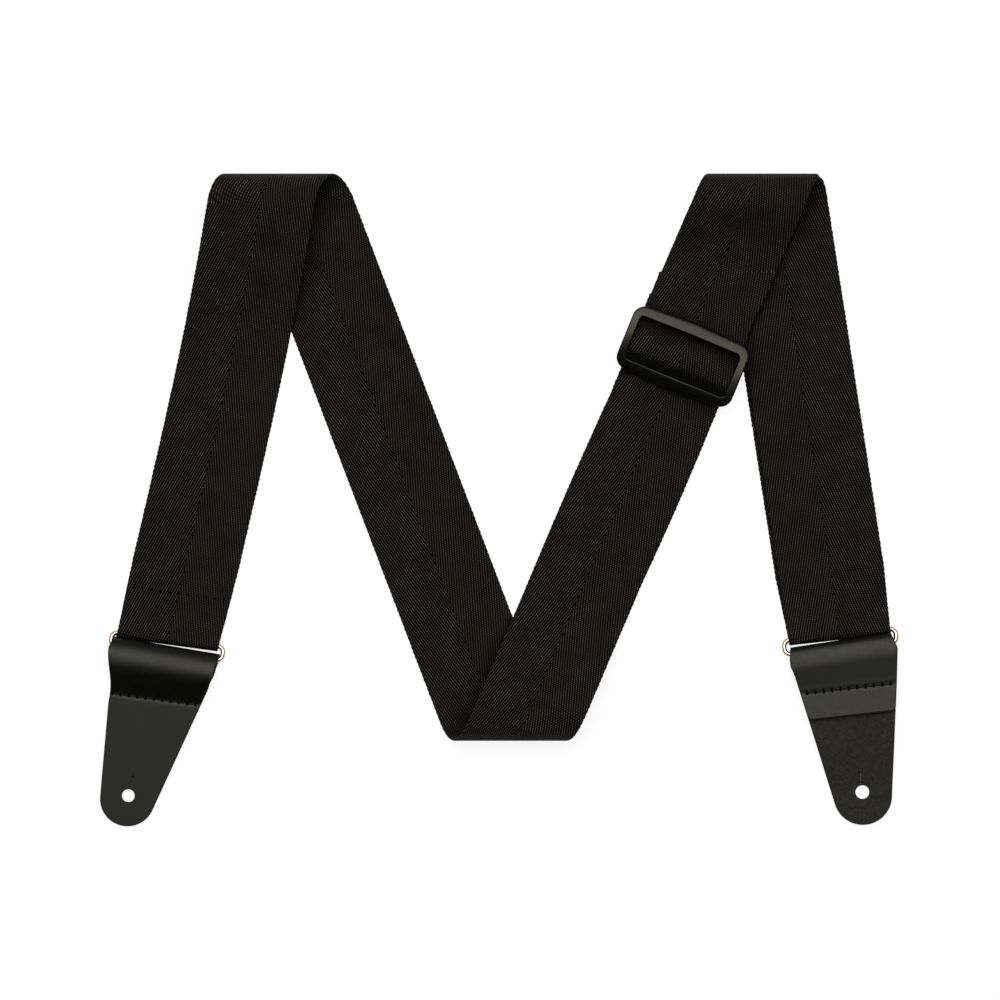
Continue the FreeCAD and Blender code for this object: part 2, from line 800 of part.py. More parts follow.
def leather_end(tab, leather_roll):
    """One piece of leather folded loosely round the ring bar, with its flap sewn down."""
    low = leather_thickness / 2
    bends = [
        bend(leather_fold_radius, 180 - leather_crest_angle),
        bend(leather_crest_radius, leather_crest_angle + tab.fall_angle),
    ]
    turn = turn_back(low, bends, tab.fall_angle, leather_ease_radius, low + leather_layer_pitch, 0.0)
    end_d, end_h, heading = path_end(turn)
    reach = tab.tip_distance + 2 * tab.tip_radius
    flap_end = flap_length - leather_bar_setback
    if tab.flap_on_top:
        under = Piece(-reach, low, 0.0, reach, 0.0)
        over = [Piece(end_d, end_h, 180.0, flap_end + end_d, 0.0)]
    else:
        under = Piece(-flap_end, low, 0.0, flap_end, 0.0)
        level = Piece(end_d, end_h, 180.0, flap_end + end_d + tab_step_start, 0.0)
        moves = climb(tab_step_length, leather_layer_pitch)
        down = lay(-flap_end - tab_step_start, end_h, 180.0, moves)
        last_d = path_end(down)[0]
        over = [level] + down + [Piece(last_d, low, 180.0, reach + last_d, 0.0)]
    width = 2 * tab_half_width(tab, 0) + reach
    strip = side_profile(leather_roll, strip_face([under] + turn + over, leather_thickness), width)
    height = 2 * (leather_fold_radius + leather_thickness)
    outline = tab_outline(tab, height)
    axis = tab_axis(tab)
    hole_centre = on_bench(axis, 0, tab.hole_distance, 0)
    hole = Part.makeCylinder(button_hole_radius, height, hole_centre)
    slit = Part.makeBox(
        slit_width, slit_length, height,
        Vector(-slit_width / 2, tab.hole_distance - button_hole_radius - slit_length + slit_width, 0))
    cut = strip.common(outline).cut(hole).cut(to_bench(axis, slit))
    return cut.cut(tab_seam(tab, thread_clearance))


# ---------------------------------------------------------------- rings and slider


def wire_ring(ring_bench):
    """A rounded oblong of wire, tilted between its two bars."""
    corners = oblong(ring_length - wire_diameter, bar_spacing)
    path = round_corners(corners, [ring_corner_radius] * 4)
    start = path.Edges[0].Vertexes[0].Point
    direction = path.Edges[0].tangentAt(path.Edges[0].FirstParameter)
    circle = Part.Wire(Part.makeCircle(wire_diameter / 2, start, direction))
    ring = path.makePipeShell([circle], True, False)
    ring.rotate(Vector(0, 0, 0), Vector(1, 0, 0), ring_tilt)
    return to_bench(ring_bench, ring)


def oblong(length, height):
    """Corners of a rectangle about the origin."""
    x, y = length / 2, height / 2
    return [Vector(-x, -y, 0), Vector(x, -y, 0), Vector(x, y, 0), Vector(-x, y, 0)]


def round_corners(points, radii):
    """A closed polygon with each corner turned into an arc of its own radius."""
    arcs = []
    for index, (corner, radius) in enumerate(zip(points, radii)):
        before = (points[index - 1] - corner).normalize()
        after = (points[(index + 1) % len(points)] - corner).normalize()
        half_angle = before.getAngle(after) / 2
        setback = radius / math.tan(half_angle)
        inward = (before + after).normalize() * radius * (1 / math.sin(half_angle) - 1)
        arcs.append((corner + before * setback, corner + inward, corner + after * setback))
    edges = []
    for index, (start, middle, finish) in enumerate(arcs):
        edges.append(Part.Arc(start, middle, finish).toShape())
        edges.append(Part.makeLine(finish, arcs[(index + 1) % len(arcs)][0]))
    return Part.Wire(edges)


def slider_frame():
    """An arched frame with blunt long sides and a dropped centre bar that the loop is sewn on."""
    half_length = window_length / 2 + end_bar_width
    end_half = window_height / 2 + long_bar_width
    centre = frame_middle - frame_arch_radius
    tall = frame_middle + frame_thickness
    outline = round_corners([
        Vector(-half_length, -end_half, 0), Vector(0, -frame_half_height, 0),
        Vector(half_length, -end_half, 0), Vector(half_length, end_half, 0),
        Vector(0, frame_half_height, 0), Vector(-half_length, end_half, 0),
    ], [frame_corner_radius, apex_round_radius, frame_corner_radius] * 2)
    window_outline = round_corners(oblong(window_length, window_height), [window_corner_radius] * 4)
    frame = Part.Face(outline).cut(Part.Face(window_outline)).extrude(Vector(0, 0, tall))
    axis = Vector(1, 0, 0)
    start = Vector(-half_length, 0, centre)
    outer = Part.makeCylinder(frame_arch_radius + frame_thickness / 2, 2 * half_length, start, axis)
    inner = Part.makeCylinder(frame_inner_radius, 2 * half_length, start, axis)
    frame = frame.common(outer.cut(inner))
    bar = Part.makeBox(
        window_length + end_bar_width, centre_bar_width, centre_bar_thickness,
        Vector(-(window_length + end_bar_width) / 2, -centre_bar_width / 2,
               centre_bar_level - centre_bar_thickness / 2))
    bar = bar.makeFillet(centre_bar_thickness / 2 - seam_gap / 2, [
        edge for edge in bar.Edges if abs(edge.Vertexes[0].X - edge.Vertexes[1].X) > centre_bar_width])
    lugs = []
    lug_low = centre_bar_level - centre_bar_thickness / 2
    for side in (-1, 1):
        left_x = window_length / 2 if side > 0 else -half_length
        corner = Vector(left_x, -lug_width / 2, lug_low)
        lugs.append(Part.makeBox(end_bar_width, lug_width, frame_middle - lug_low, corner))
    return to_bench(slider_bench, frame.multiFuse(lugs + [bar]).removeSplitter())


# ---------------------------------------------------------------- the whole strap


def build():
    return {
        "webbing_left_end_loop": webbing_left_end_loop(),
        "webbing_leg_1": webbing_leg_1(),
        "webbing_fold_top_left": webbing_fold_top_left(),
        "webbing_leg_2": webbing_leg_2(),
        "webbing_fold_bottom": webbing_fold_bottom(),
        "webbing_leg_3_lower": webbing_leg_3_lower(),
        "webbing_over_slider_bar": webbing_over_slider_bar(),
        "webbing_leg_3_upper": webbing_leg_3_upper(),
        "webbing_fold_top_right": webbing_fold_top_right(),
        "webbing_leg_4": webbing_leg_4(),
        "webbing_ring_turn": webbing_ring_turn(),
        "webbing_return_leg_4": webbing_return_leg_4(),
        "webbing_return_fold": webbing_return_fold(),
        "webbing_return_leg_3": webbing_return_leg_3(),
        "webbing_slider_loop": webbing_slider_loop(),
        "slider_frame": slider_frame(),
        "left_ring": wire_ring(left_ring_bench),
        "right_ring": wire_ring(right_ring_bench),
        "left_leather_end": leather_end(left_tab, left_leather_roll),
        "right_leather_end": leather_end(right_tab, right_leather_roll),
        "left_loop_stitching": left_loop_seam(),
        "slider_loop_stitching": slider_loop_seam(),
        "left_end_stitching": tab_seam(left_tab),
        "right_end_stitching": tab_seam(right_tab),
    }


def main():
    os.makedirs("parts", exist_ok=True)
    for name, shape in build().items():
        shape.exportStep(f"parts/{name}.step")
        print(f"{name:26s} solids {len(shape.Solids)} volume {shape.Volume:10.1f} valid {shape.isValid()}")


main()
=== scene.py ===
import math
from collections import namedtuple

import bmesh
import bpy
from mathutils import Matrix, Vector
from mathutils.geometry import delaunay_2d_cdt


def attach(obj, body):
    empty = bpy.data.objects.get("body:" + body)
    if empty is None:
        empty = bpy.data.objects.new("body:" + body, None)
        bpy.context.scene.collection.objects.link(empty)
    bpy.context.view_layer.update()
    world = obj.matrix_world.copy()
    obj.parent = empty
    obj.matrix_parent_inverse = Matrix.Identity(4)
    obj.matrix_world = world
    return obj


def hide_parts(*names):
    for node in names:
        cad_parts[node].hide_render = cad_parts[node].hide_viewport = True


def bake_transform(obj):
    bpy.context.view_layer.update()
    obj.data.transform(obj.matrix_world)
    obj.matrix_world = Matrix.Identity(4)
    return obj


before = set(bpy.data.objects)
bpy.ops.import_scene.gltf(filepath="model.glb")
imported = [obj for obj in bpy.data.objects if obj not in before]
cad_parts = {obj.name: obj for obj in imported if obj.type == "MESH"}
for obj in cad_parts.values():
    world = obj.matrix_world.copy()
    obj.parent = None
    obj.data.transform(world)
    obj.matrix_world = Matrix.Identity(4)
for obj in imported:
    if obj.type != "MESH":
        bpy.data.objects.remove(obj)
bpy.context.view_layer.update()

# An adjustable guitar strap of 2 inch webbing, laid out flat on a table in four legs.
# Sizes below are millimetres and degrees; meshes are made in metres.
MM = 0.001

# ---------------------------------------------------------------- sizes shared with the frame

WEBBING_WIDTH = 50.8
WEBBING_THICKNESS = 1.2
LAYER_GAP = 0.3
SEAM_GAP = 0.1
PINCHED_WIDTH = 49.2
RETURN_SIDESTEP = 0.85

TOP_FOLD_Y = 145.9
BOTTOM_FOLD_Y = -104.7
LEG_1_TOP_X = -114.5
LEG_2_TOP_X = -98.0
LEG_2_BOTTOM_X = -2.7
LEG_3_BOTTOM_X = 13.2
LEG_3_TOP_X = 120.8
LEG_4_TOP_X = 131.1
LEG_1_TOP_SLOPE = 0.165
LEG_1_LOW_SLOPE = 0.2345
ROLL_RADIUS = 10.6

LEFT_RISE, LEFT_EASE = 17.0, 100.0
BOTTOM_RISE, BOTTOM_EASE = 24.0, 60.0
RIGHT_RISE, RIGHT_EASE = 35.0, 35.0
RAMP_STEEPNESS = 1.4

WIRE_DIAMETER = 2.4
BAR_SPACING = 7.2
RING_LENGTH = 56.6
RING_CORNER_RADIUS = 3.0
RUNNING_GAP = 0.3
LEFT_RING = (-160.4, -70.5, -7.7)
RIGHT_RING = (163.9, -68.2, 6.4)

LOOP_RISE, LOOP_EASE = 13.0, 20.0
LOOP_TAIL_LENGTH = 27.0
LOOP_SEAM_PLACE = 22.8
LOOP_STEP_LENGTH = 9.0
RING_TURN_LENGTH = 30.0

LEATHER_THICKNESS = 2.2
LEATHER_BEND_RADIUS = 2.4
LEATHER_FOLD_WIDTH = 48.0
FLAP_LENGTH = 31.8
TAB_FLARE_PLACE = 5.0
SIDE_ANGLE = 9.85
SLIT_LENGTH = 8.5

SLIDER_Y = 69.2
SLIDER_SKEW = 1.1
WINDOW_LENGTH = 51.4
WINDOW_HEIGHT = 21.7
WINDOW_CORNER_RADIUS = 2.2
END_BAR_WIDTH = 4.1
LONG_BAR_WIDTH = 4.6
LONG_BAR_BULGE = 1.5
FRAME_CORNER_RADIUS = 6.0
FRAME_THICKNESS = 2.8
FRAME_ARCH_RADIUS = 50.0
APEX_ROUND_RADIUS = 12.0
FRAME_EDGE_ROUND = 0.75
CENTRE_BAR_WIDTH = 3.6
CENTRE_BAR_THICKNESS = 2.4
CENTRE_BAR_DROP = 3.5
LUG_WIDTH = 5.0
HUMP_REACH = 11.5
HUMP_FLAT = 3.5
SLIDER_APPROACH = 30.0
SLIDER_ENTRY_RISE = 2.0
SLIDER_TAIL_LENGTH = 22.0
SLIDER_SEAM_PLACE = 19.5
SLIDER_STEP_LENGTH = 10.0

LOOP_STITCH_PITCH = 4.4

# ---------------------------------------------------------------- sizes of the finish

# The strap is pressed a little wider where it bends over the slider's bar.
PRESSED_HALF_WIDTH = WEBBING_WIDTH / 2 + 0.5
SELVEDGE_PITCH = 2.4
SELVEDGE_DEPTH = 0.3
STATION_STEP = 0.45
RIB_ANGLE = 16.7
RIB_PITCH = 1.17
GAP_ANGLE = 41.0
GAP_PITCH = 0.945
PIT_RADIUS = 0.42
LOOP_NEEDLE_RADIUS = 0.62
LOOP_NEEDLE_REACH = 5.2
# Reach of the painted shade under overlaps
PAINTED_SHADE_REACH = 24.0
# An edge stays sharp when its faces meet at more than this.
SHARP_ANGLE = 50.0

HALF_THICKNESS = WEBBING_THICKNESS / 2
LAYER_PITCH = WEBBING_THICKNESS + LAYER_GAP
SEAM_PITCH = WEBBING_THICKNESS + SEAM_GAP
BAR_LOOP_RADIUS = WIRE_DIAMETER / 2 + RUNNING_GAP + HALF_THICKNESS
WEBBING_BAR_HEIGHT = HALF_THICKNESS + BAR_LOOP_RADIUS
LEATHER_FOLD_RADIUS = LEATHER_BEND_RADIUS + LEATHER_THICKNESS / 2
LEATHER_BAR_HEIGHT = LEATHER_THICKNESS / 2 + LEATHER_FOLD_RADIUS
LEATHER_BAR_SETBACK = LEATHER_BEND_RADIUS - WIRE_DIAMETER / 2 - RUNNING_GAP
RING_TILT = math.degrees(math.asin((LEATHER_BAR_HEIGHT - WEBBING_BAR_HEIGHT) / BAR_SPACING))
LEATHER_LAYER_PITCH = LEATHER_THICKNESS + SEAM_GAP

Piece = namedtuple("Piece", "d h heading length turn")
Station = namedtuple("Station", "centre ruling normal half_width")
Leg = namedtuple("Leg", "top_x top_y top_slope low_x low_y low_slope")
Bench = namedtuple("Bench", "origin across along up")
Fold = namedtuple("Fold", "bends fall ease lift")
Tab = namedtuple("Tab", "angle shift tip_radius tip_distance hole_distance hole_radius seam_place")

LEFT_TAB = Tab(-14.9, 0.0, 13.25, 72.5, 70.9, 3.05, 22.5)
RIGHT_TAB = Tab(7.6, 1.1, 14.1, 71.6, 69.8, 3.3, 19.4)


def sine(angle):
    return math.sin(math.radians(angle))


def cosine(angle):
    return math.cos(math.radians(angle))


def tangent(angle):
    return math.tan(math.radians(angle))


def scatter(number):
    """A fixed number from 0 to 1 for each whole number, for small unevenness."""
    return math.sin(number * 12.9898 + 4.1) * 43758.5453 % 1.0


# ---------------------------------------------------------------- paths in side view


def straight(length):
    return (length, 0.0)


def bend(radius, turn):
    return (radius * math.radians(abs(turn)), turn)


def climb(length, rise):
    """An S bend that gains `rise` over `length` and starts and ends level."""
    angle = math.degrees(math.atan(abs(rise) / length)) * RAMP_STEEPNESS
    versine = 1 - cosine(angle)
    radius = (length * sine(angle) - abs(rise) * cosine(angle)) / (2 * versine)
    middle = (abs(rise) * sine(angle) - versine * length) / versine
    way = math.copysign(angle, rise)
    return [bend(radius, way), straight(middle), bend(radius, -way)]


def locate(piece, share):
    """Distance, height and heading at a share of the way along one piece."""
    if piece.turn == 0:
        run = piece.length * share
        return (piece.d + run * cosine(piece.heading), piece.h + run * sine(piece.heading), piece.heading)
    radius = piece.length / math.radians(piece.turn)
    heading = piece.heading + piece.turn * share
    return (
        piece.d + radius * (sine(heading) - sine(piece.heading)),
        piece.h - radius * (cosine(heading) - cosine(piece.heading)),
        heading,
    )


def lay(d, h, heading, moves):
    """Pieces laid end to end from a point and heading."""
    pieces = []
    for length, turn in moves:
        piece = Piece(d, h, heading, length, turn)
        pieces.append(piece)
        d, h, heading = locate(piece, 1.0)
    return pieces


def beside(pieces, distance):
    """The same path moved sideways, to the left of its heading."""
    return [
        Piece(
            piece.d - sine(piece.heading) * distance,
            piece.h + cosine(piece.heading) * distance,
            piece.heading,
            piece.length - distance * math.radians(piece.turn),
            piece.turn,
        )
        for piece in pieces
    ]


def path_end(pieces):
    return locate(pieces[-1], 1.0)


def turn_back(low, bends, rise_angle, ease_radius, level, slope):
    """A layer that runs out at height `low`, rolls over and comes back down on to a line."""
    roll = lay(0.0, low, 0.0, bends)
    d, h, heading = path_end(roll)
    ease_d = ease_radius * (sine(rise_angle) - sine(slope))
    ease_h = ease_radius * (cosine(slope) - cosine(rise_angle))
    height_left = h - ease_h - level - tangent(slope) * (d - ease_d)
    fall = height_left / (sine(rise_angle) - tangent(slope) * cosine(rise_angle))
    return roll + lay(d, h, heading, [straight(fall), bend(ease_radius, slope - rise_angle)])


def walk(pieces, to_station, step=STATION_STEP):
    """Stations along path pieces, a step or less apart."""
    total = sum(piece.length for piece in pieces)
    stations = []
    run = 0.0
    for piece in pieces:
        count = max(1, math.ceil(piece.length / step))
        for index in range(count):
            share = index / count
            d, h, heading = locate(piece, share)
            stations.append(to_station(d, h, heading, (run + piece.length * share) / total))
        run += piece.length
    d, h, heading = path_end(pieces)
    return stations + [to_station(d, h, heading, 1.0)]


# ---------------------------------------------------------------- benches and legs


def turned(vector, angle):
    c, s = cosine(angle), sine(angle)
    return Vector((vector.x * c - vector.y * s, vector.x * s + vector.y * c, vector.z))


def bench_at(origin, turn, tilt=0.0):
    """Axes turned about Z, then tilted about the table's X."""
    axes = []
    for axis in ((1, 0, 0), (0, 1, 0), (0, 0, 1)):
        flat = turned(Vector(axis), turn)
        c, s = cosine(tilt), sine(tilt)
        axes.append(Vector((flat.x, flat.y * c - flat.z * s, flat.y * s + flat.z * c)))
    return Bench(Vector(origin), *axes)


def on_bench(bench, across, along, up):
    return bench.origin + bench.across * across + bench.along * along + bench.up * up


def bench_stations(bench, across, half_width):
    """Stations ruled along the bench's across axis, placed by two functions of d and share."""

    def to_station(d, h, heading, share):
        centre = on_bench(bench, across(d, share), d, h)
        normal = bench.up * cosine(heading) - bench.along * sine(heading)
        return Station(centre, bench.across, normal, half_width(d, share))

    return to_station


def straight_leg(top_x, top_y, low_x, low_y):
    slope = (top_x - low_x) / (top_y - low_y)
    return Leg(top_x, top_y, slope, low_x, low_y, slope)


def leg_place(leg, y):
    """X of a leg's centre line and its slope dx/dy: a cubic between its two ends."""
    height = leg.top_y - leg.low_y
    t = (y - leg.low_y) / height
    rise = leg.top_x - leg.low_x
    low = leg.low_slope * height
    top = leg.top_slope * height
    square = 3 * rise - 2 * low - top
    cube = low + top - 2 * rise
    x = leg.low_x + t * (low + t * (square + t * cube))
    slope = (low + t * (2 * square + 3 * t * cube)) / height
    return x, slope


def leg_x(leg, y):
    return leg_place(leg, y)[0]


def leg_half_width(leg, y):
    """Half of the webbing measured along X, which is longer on a leaning leg."""
    return WEBBING_WIDTH / 2 * math.hypot(1, leg_place(leg, y)[1])


def leg_stations(fold_y, side, leg):
    """Stations ruled along X on a leg, with d counted outward from a fold's tangent line."""

    def to_station(d, h, heading, share):
        y = fold_y + side * d
        normal = Vector((0, -side * sine(heading), cosine(heading)))
        centre = Vector((leg_x(leg, y), y, h))
        return Station(centre, Vector((1, 0, 0)), normal, leg_half_width(leg, y))

    return to_station


def fold_stations(fold_y, side, lower_leg, upper_leg, roll, sidestep=0.0):
    """Stations ruled along X round a roll, drifting sideways from one leg to the other."""
    upper_y = fold_y + side * path_end([roll])[0]
    low_x, low_slope = leg_place(lower_leg, fold_y)
    top_x, top_slope = leg_place(upper_leg, upper_y)
    start_rate = side * low_slope * roll.length
    end_rate = -side * top_slope * roll.length * cosine(roll.turn - 180)
    drift = Leg(top_x, 1.0, end_rate, low_x + sidestep, 0.0, start_rate)
    low_half = leg_half_width(lower_leg, fold_y)
    top_half = leg_half_width(upper_leg, upper_y)

    def to_station(d, h, heading, share):
        normal = Vector((0, -side * sine(heading), cosine(heading)))
        centre = Vector((leg_x(drift, share), fold_y + side * d, h))
        return Station(centre, Vector((1, 0, 0)), normal, low_half + (top_half - low_half) * share)

    return to_station


def ring_benches(x, y, bar_angle):
    """The ring's centre, the webbing bar and the leather roll of one end."""
    half_spread = BAR_SPACING / 2 * cosine(RING_TILT)
    flat = bench_at((x, y, 0), 180 + bar_angle)
    ring = Bench(
        flat.origin + flat.up * (WEBBING_BAR_HEIGHT + LEATHER_BAR_HEIGHT) / 2, flat.across,
        flat.along * cosine(RING_TILT) + flat.up * sine(RING_TILT),
        flat.up * cosine(RING_TILT) - flat.along * sine(RING_TILT))
    webbing_bar = flat._replace(origin=flat.origin - flat.along * half_spread)
    leather_bar = flat.origin + flat.along * half_spread
    leather_roll = bench_at(leather_bar + flat.along * LEATHER_BAR_SETBACK, bar_angle)
    return ring, webbing_bar, leather_roll


left_ring_bench, left_bar, left_leather_roll = ring_benches(*LEFT_RING)
right_ring_bench, right_bar, right_leather_roll = ring_benches(*RIGHT_RING)

left_leg_angle = -math.degrees(math.atan(LEG_1_LOW_SLOPE))
left_reach = LOOP_TAIL_LENGTH + LOOP_STEP_LENGTH
left_drift = -tangent(left_leg_angle - LEFT_RING[2])
leg_1_low = on_bench(left_bar, -left_drift * left_reach, -left_reach, 0)
leg_1 = Leg(LEG_1_TOP_X, TOP_FOLD_Y, LEG_1_TOP_SLOPE, leg_1_low.x, leg_1_low.y, LEG_1_LOW_SLOPE)
leg_2 = straight_leg(LEG_2_TOP_X, TOP_FOLD_Y, LEG_2_BOTTOM_X, BOTTOM_FOLD_Y)
leg_3 = straight_leg(LEG_3_TOP_X, TOP_FOLD_Y, LEG_3_BOTTOM_X, BOTTOM_FOLD_Y)
leg_4 = straight_leg(LEG_4_TOP_X, TOP_FOLD_Y, right_bar.origin.x, right_bar.origin.y)
right_drift = math.tan(math.atan(leg_4.low_slope) + math.radians(RIGHT_RING[2]))

# The third leg leaves the table where the bottom fold has eased out, and climbs on to leg 4.
bottom_bends = [bend(ROLL_RADIUS, 180 + BOTTOM_RISE)]
flat_bottom_turn = turn_back(
    HALF_THICKNESS, bottom_bends, BOTTOM_RISE, BOTTOM_EASE, HALF_THICKNESS, 0.0)
lift_start_y = BOTTOM_FOLD_Y - path_end(flat_bottom_turn)[0]
edge_gap = LEG_4_TOP_X - RETURN_SIDESTEP - leg_half_width(leg_4, TOP_FOLD_Y)
edge_gap -= LEG_3_TOP_X + leg_half_width(leg_3, TOP_FOLD_Y)
crossing_y = TOP_FOLD_Y + edge_gap / (leg_3.top_slope - leg_4.top_slope)
lift_angle = math.degrees(math.atan(2 * LAYER_PITCH / (crossing_y - lift_start_y)))


def leg_3_level(y, level):
    """Height of a layer `level` above the sloping underside of the third leg."""
    return (y - lift_start_y) * tangent(lift_angle) + level / cosine(lift_angle)


bottom_turn = turn_back(
    HALF_THICKNESS, bottom_bends, BOTTOM_RISE, BOTTOM_EASE,
    leg_3_level(BOTTOM_FOLD_Y, HALF_THICKNESS), -lift_angle)
leg_3_angle = math.degrees(math.atan(leg_3.top_slope))
slider_foot = Vector((leg_x(leg_3, SLIDER_Y), SLIDER_Y, leg_3_level(SLIDER_Y, 0)))
slider_bench = bench_at(slider_foot, SLIDER_SKEW - leg_3_angle, lift_angle)

strap_level = HALF_THICKNESS + SEAM_PITCH
main_level = strap_level + LAYER_PITCH
frame_underside = main_level + HALF_THICKNESS + LAYER_GAP
frame_half_height = WINDOW_HEIGHT / 2 + LONG_BAR_WIDTH + LONG_BAR_BULGE
frame_inner_radius = FRAME_ARCH_RADIUS - FRAME_THICKNESS / 2
frame_middle = frame_underside + FRAME_ARCH_RADIUS - math.sqrt(frame_inner_radius**2 - frame_half_height**2)
centre_bar_level = frame_middle - CENTRE_BAR_DROP
wrap_radius = CENTRE_BAR_THICKNESS / 2 + LAYER_GAP + HALF_THICKNESS
wrap_offset = (CENTRE_BAR_WIDTH - CENTRE_BAR_THICKNESS) / 2


# ---------------------------------------------------------------- the run of the webbing

sewn_level = HALF_THICKNESS + SEAM_PITCH
loop_bends = [bend(BAR_LOOP_RADIUS, 180 + LOOP_RISE)]
left_loop = turn_back(HALF_THICKNESS, loop_bends, LOOP_RISE, LOOP_EASE, sewn_level, 0.0)
LOOP_SEAM_RUN = LOOP_TAIL_LENGTH + sum(piece.length for piece in left_loop)
LOOP_SEAM_RUN += path_end(left_loop)[0] + LOOP_SEAM_PLACE


def fade(d, reach):
    """1 at the far end of an end loop, 0 at the ring bar and beyond it."""
    return min(1.0, max(0.0, -d / reach))


def pinched(reach, drift):
    """Half width along the bar: full on the leg, pinched where it goes through the ring."""
    full = WEBBING_WIDTH / 2 * math.hypot(1, drift)
    return lambda d, share: PINCHED_WIDTH / 2 + (full - PINCHED_WIDTH / 2) * fade(d, reach)


def like(model, station):
    """The same station, with its ruling and normal turned to the model's side."""
    ruling = -station.ruling if station.ruling.dot(model.ruling) < 0 else station.ruling
    normal = -station.normal if station.normal.dot(model.normal) < 0 else station.normal
    return station._replace(ruling=ruling, normal=normal)


def bridge(start, finish):
    """Evenly spaced stations between two."""
    finish = like(start, finish)
    count = max(1, math.ceil((finish.centre - start.centre).length / STATION_STEP))
    stations = []
    for index in range(count + 1):
        share = index / count
        stations.append(Station(
            start.centre.lerp(finish.centre, share),
            start.ruling.lerp(finish.ruling, share).normalized(),
            start.normal.lerp(finish.normal, share).normalized(),
            start.half_width + (finish.half_width - start.half_width) * share))
    return stations


def leg_1_stations(turn):
    """The first leg from the sewn loop up to the roll, turning to the ring's lean at its foot."""
    high_y = TOP_FOLD_Y + path_end(turn)[0]
    count = math.ceil((high_y - leg_1.low_y) / STATION_STEP)
    stations = []
    for index in range(count + 1):
        share = index / count
        y = leg_1.low_y + (high_y - leg_1.low_y) * share
        x, slope = leg_place(leg_1, y)
        lean = LEFT_RING[2] * (1 - share)
        half = WEBBING_WIDTH / 2 / math.cos(math.atan(slope) + math.radians(lean))
        ruling = Vector((cosine(lean), sine(lean), 0))
        stations.append(Station(Vector((x, y, HALF_THICKNESS)), ruling, Vector((0, 0, 1)), half))
    return stations


def level_station(leg, y, sidestep, height):
    centre = Vector((leg_x(leg, y) + sidestep, y, height))
    return Station(centre, Vector((1, 0, 0)), Vector((0, 0, 1)), leg_half_width(leg, y))


def right_across(d, share):
    sidestep = RETURN_SIDESTEP if share < 0.5 else -RETURN_SIDESTEP
    return right_drift * d + sidestep * fade(d, RING_TURN_LENGTH)


def leg_3_top_turn(depth):
    """Depth 0 is the outer layer and depth 1 the returning layer inside it."""
    inward = depth * LAYER_PITCH
    level = leg_3_level(TOP_FOLD_Y, HALF_THICKNESS + LAYER_PITCH - inward)
    bends = [bend(ROLL_RADIUS - inward, 180 + RIGHT_RISE)]
    return turn_back(HALF_THICKNESS + inward, bends, RIGHT_RISE, RIGHT_EASE + inward, level, lift_angle)


def upper_run(depth, start_level):
    """One layer of the third leg from the sewn tail on the slider up to the foot of the roll."""
    level = HALF_THICKNESS + (1 - depth) * LAYER_PITCH
    fall = climb(SLIDER_STEP_LENGTH, level - start_level)
    drop = lay(SLIDER_TAIL_LENGTH + LAYER_GAP, start_level, 0.0, fall)
    stations = walk(drop, on_slider)
    rise = walk(leg_3_top_turn(depth)[1:], leg_stations(TOP_FOLD_Y, 1, leg_3))[::-1]
    return stations + bridge(stations[-1], rise[0]) + rise


on_slider, in_slider = (
    bench_stations(slider_bench, lambda d, share: 0.0, lambda d, share, half=half: half)
    for half in (WEBBING_WIDTH / 2, PRESSED_HALF_WIDTH))


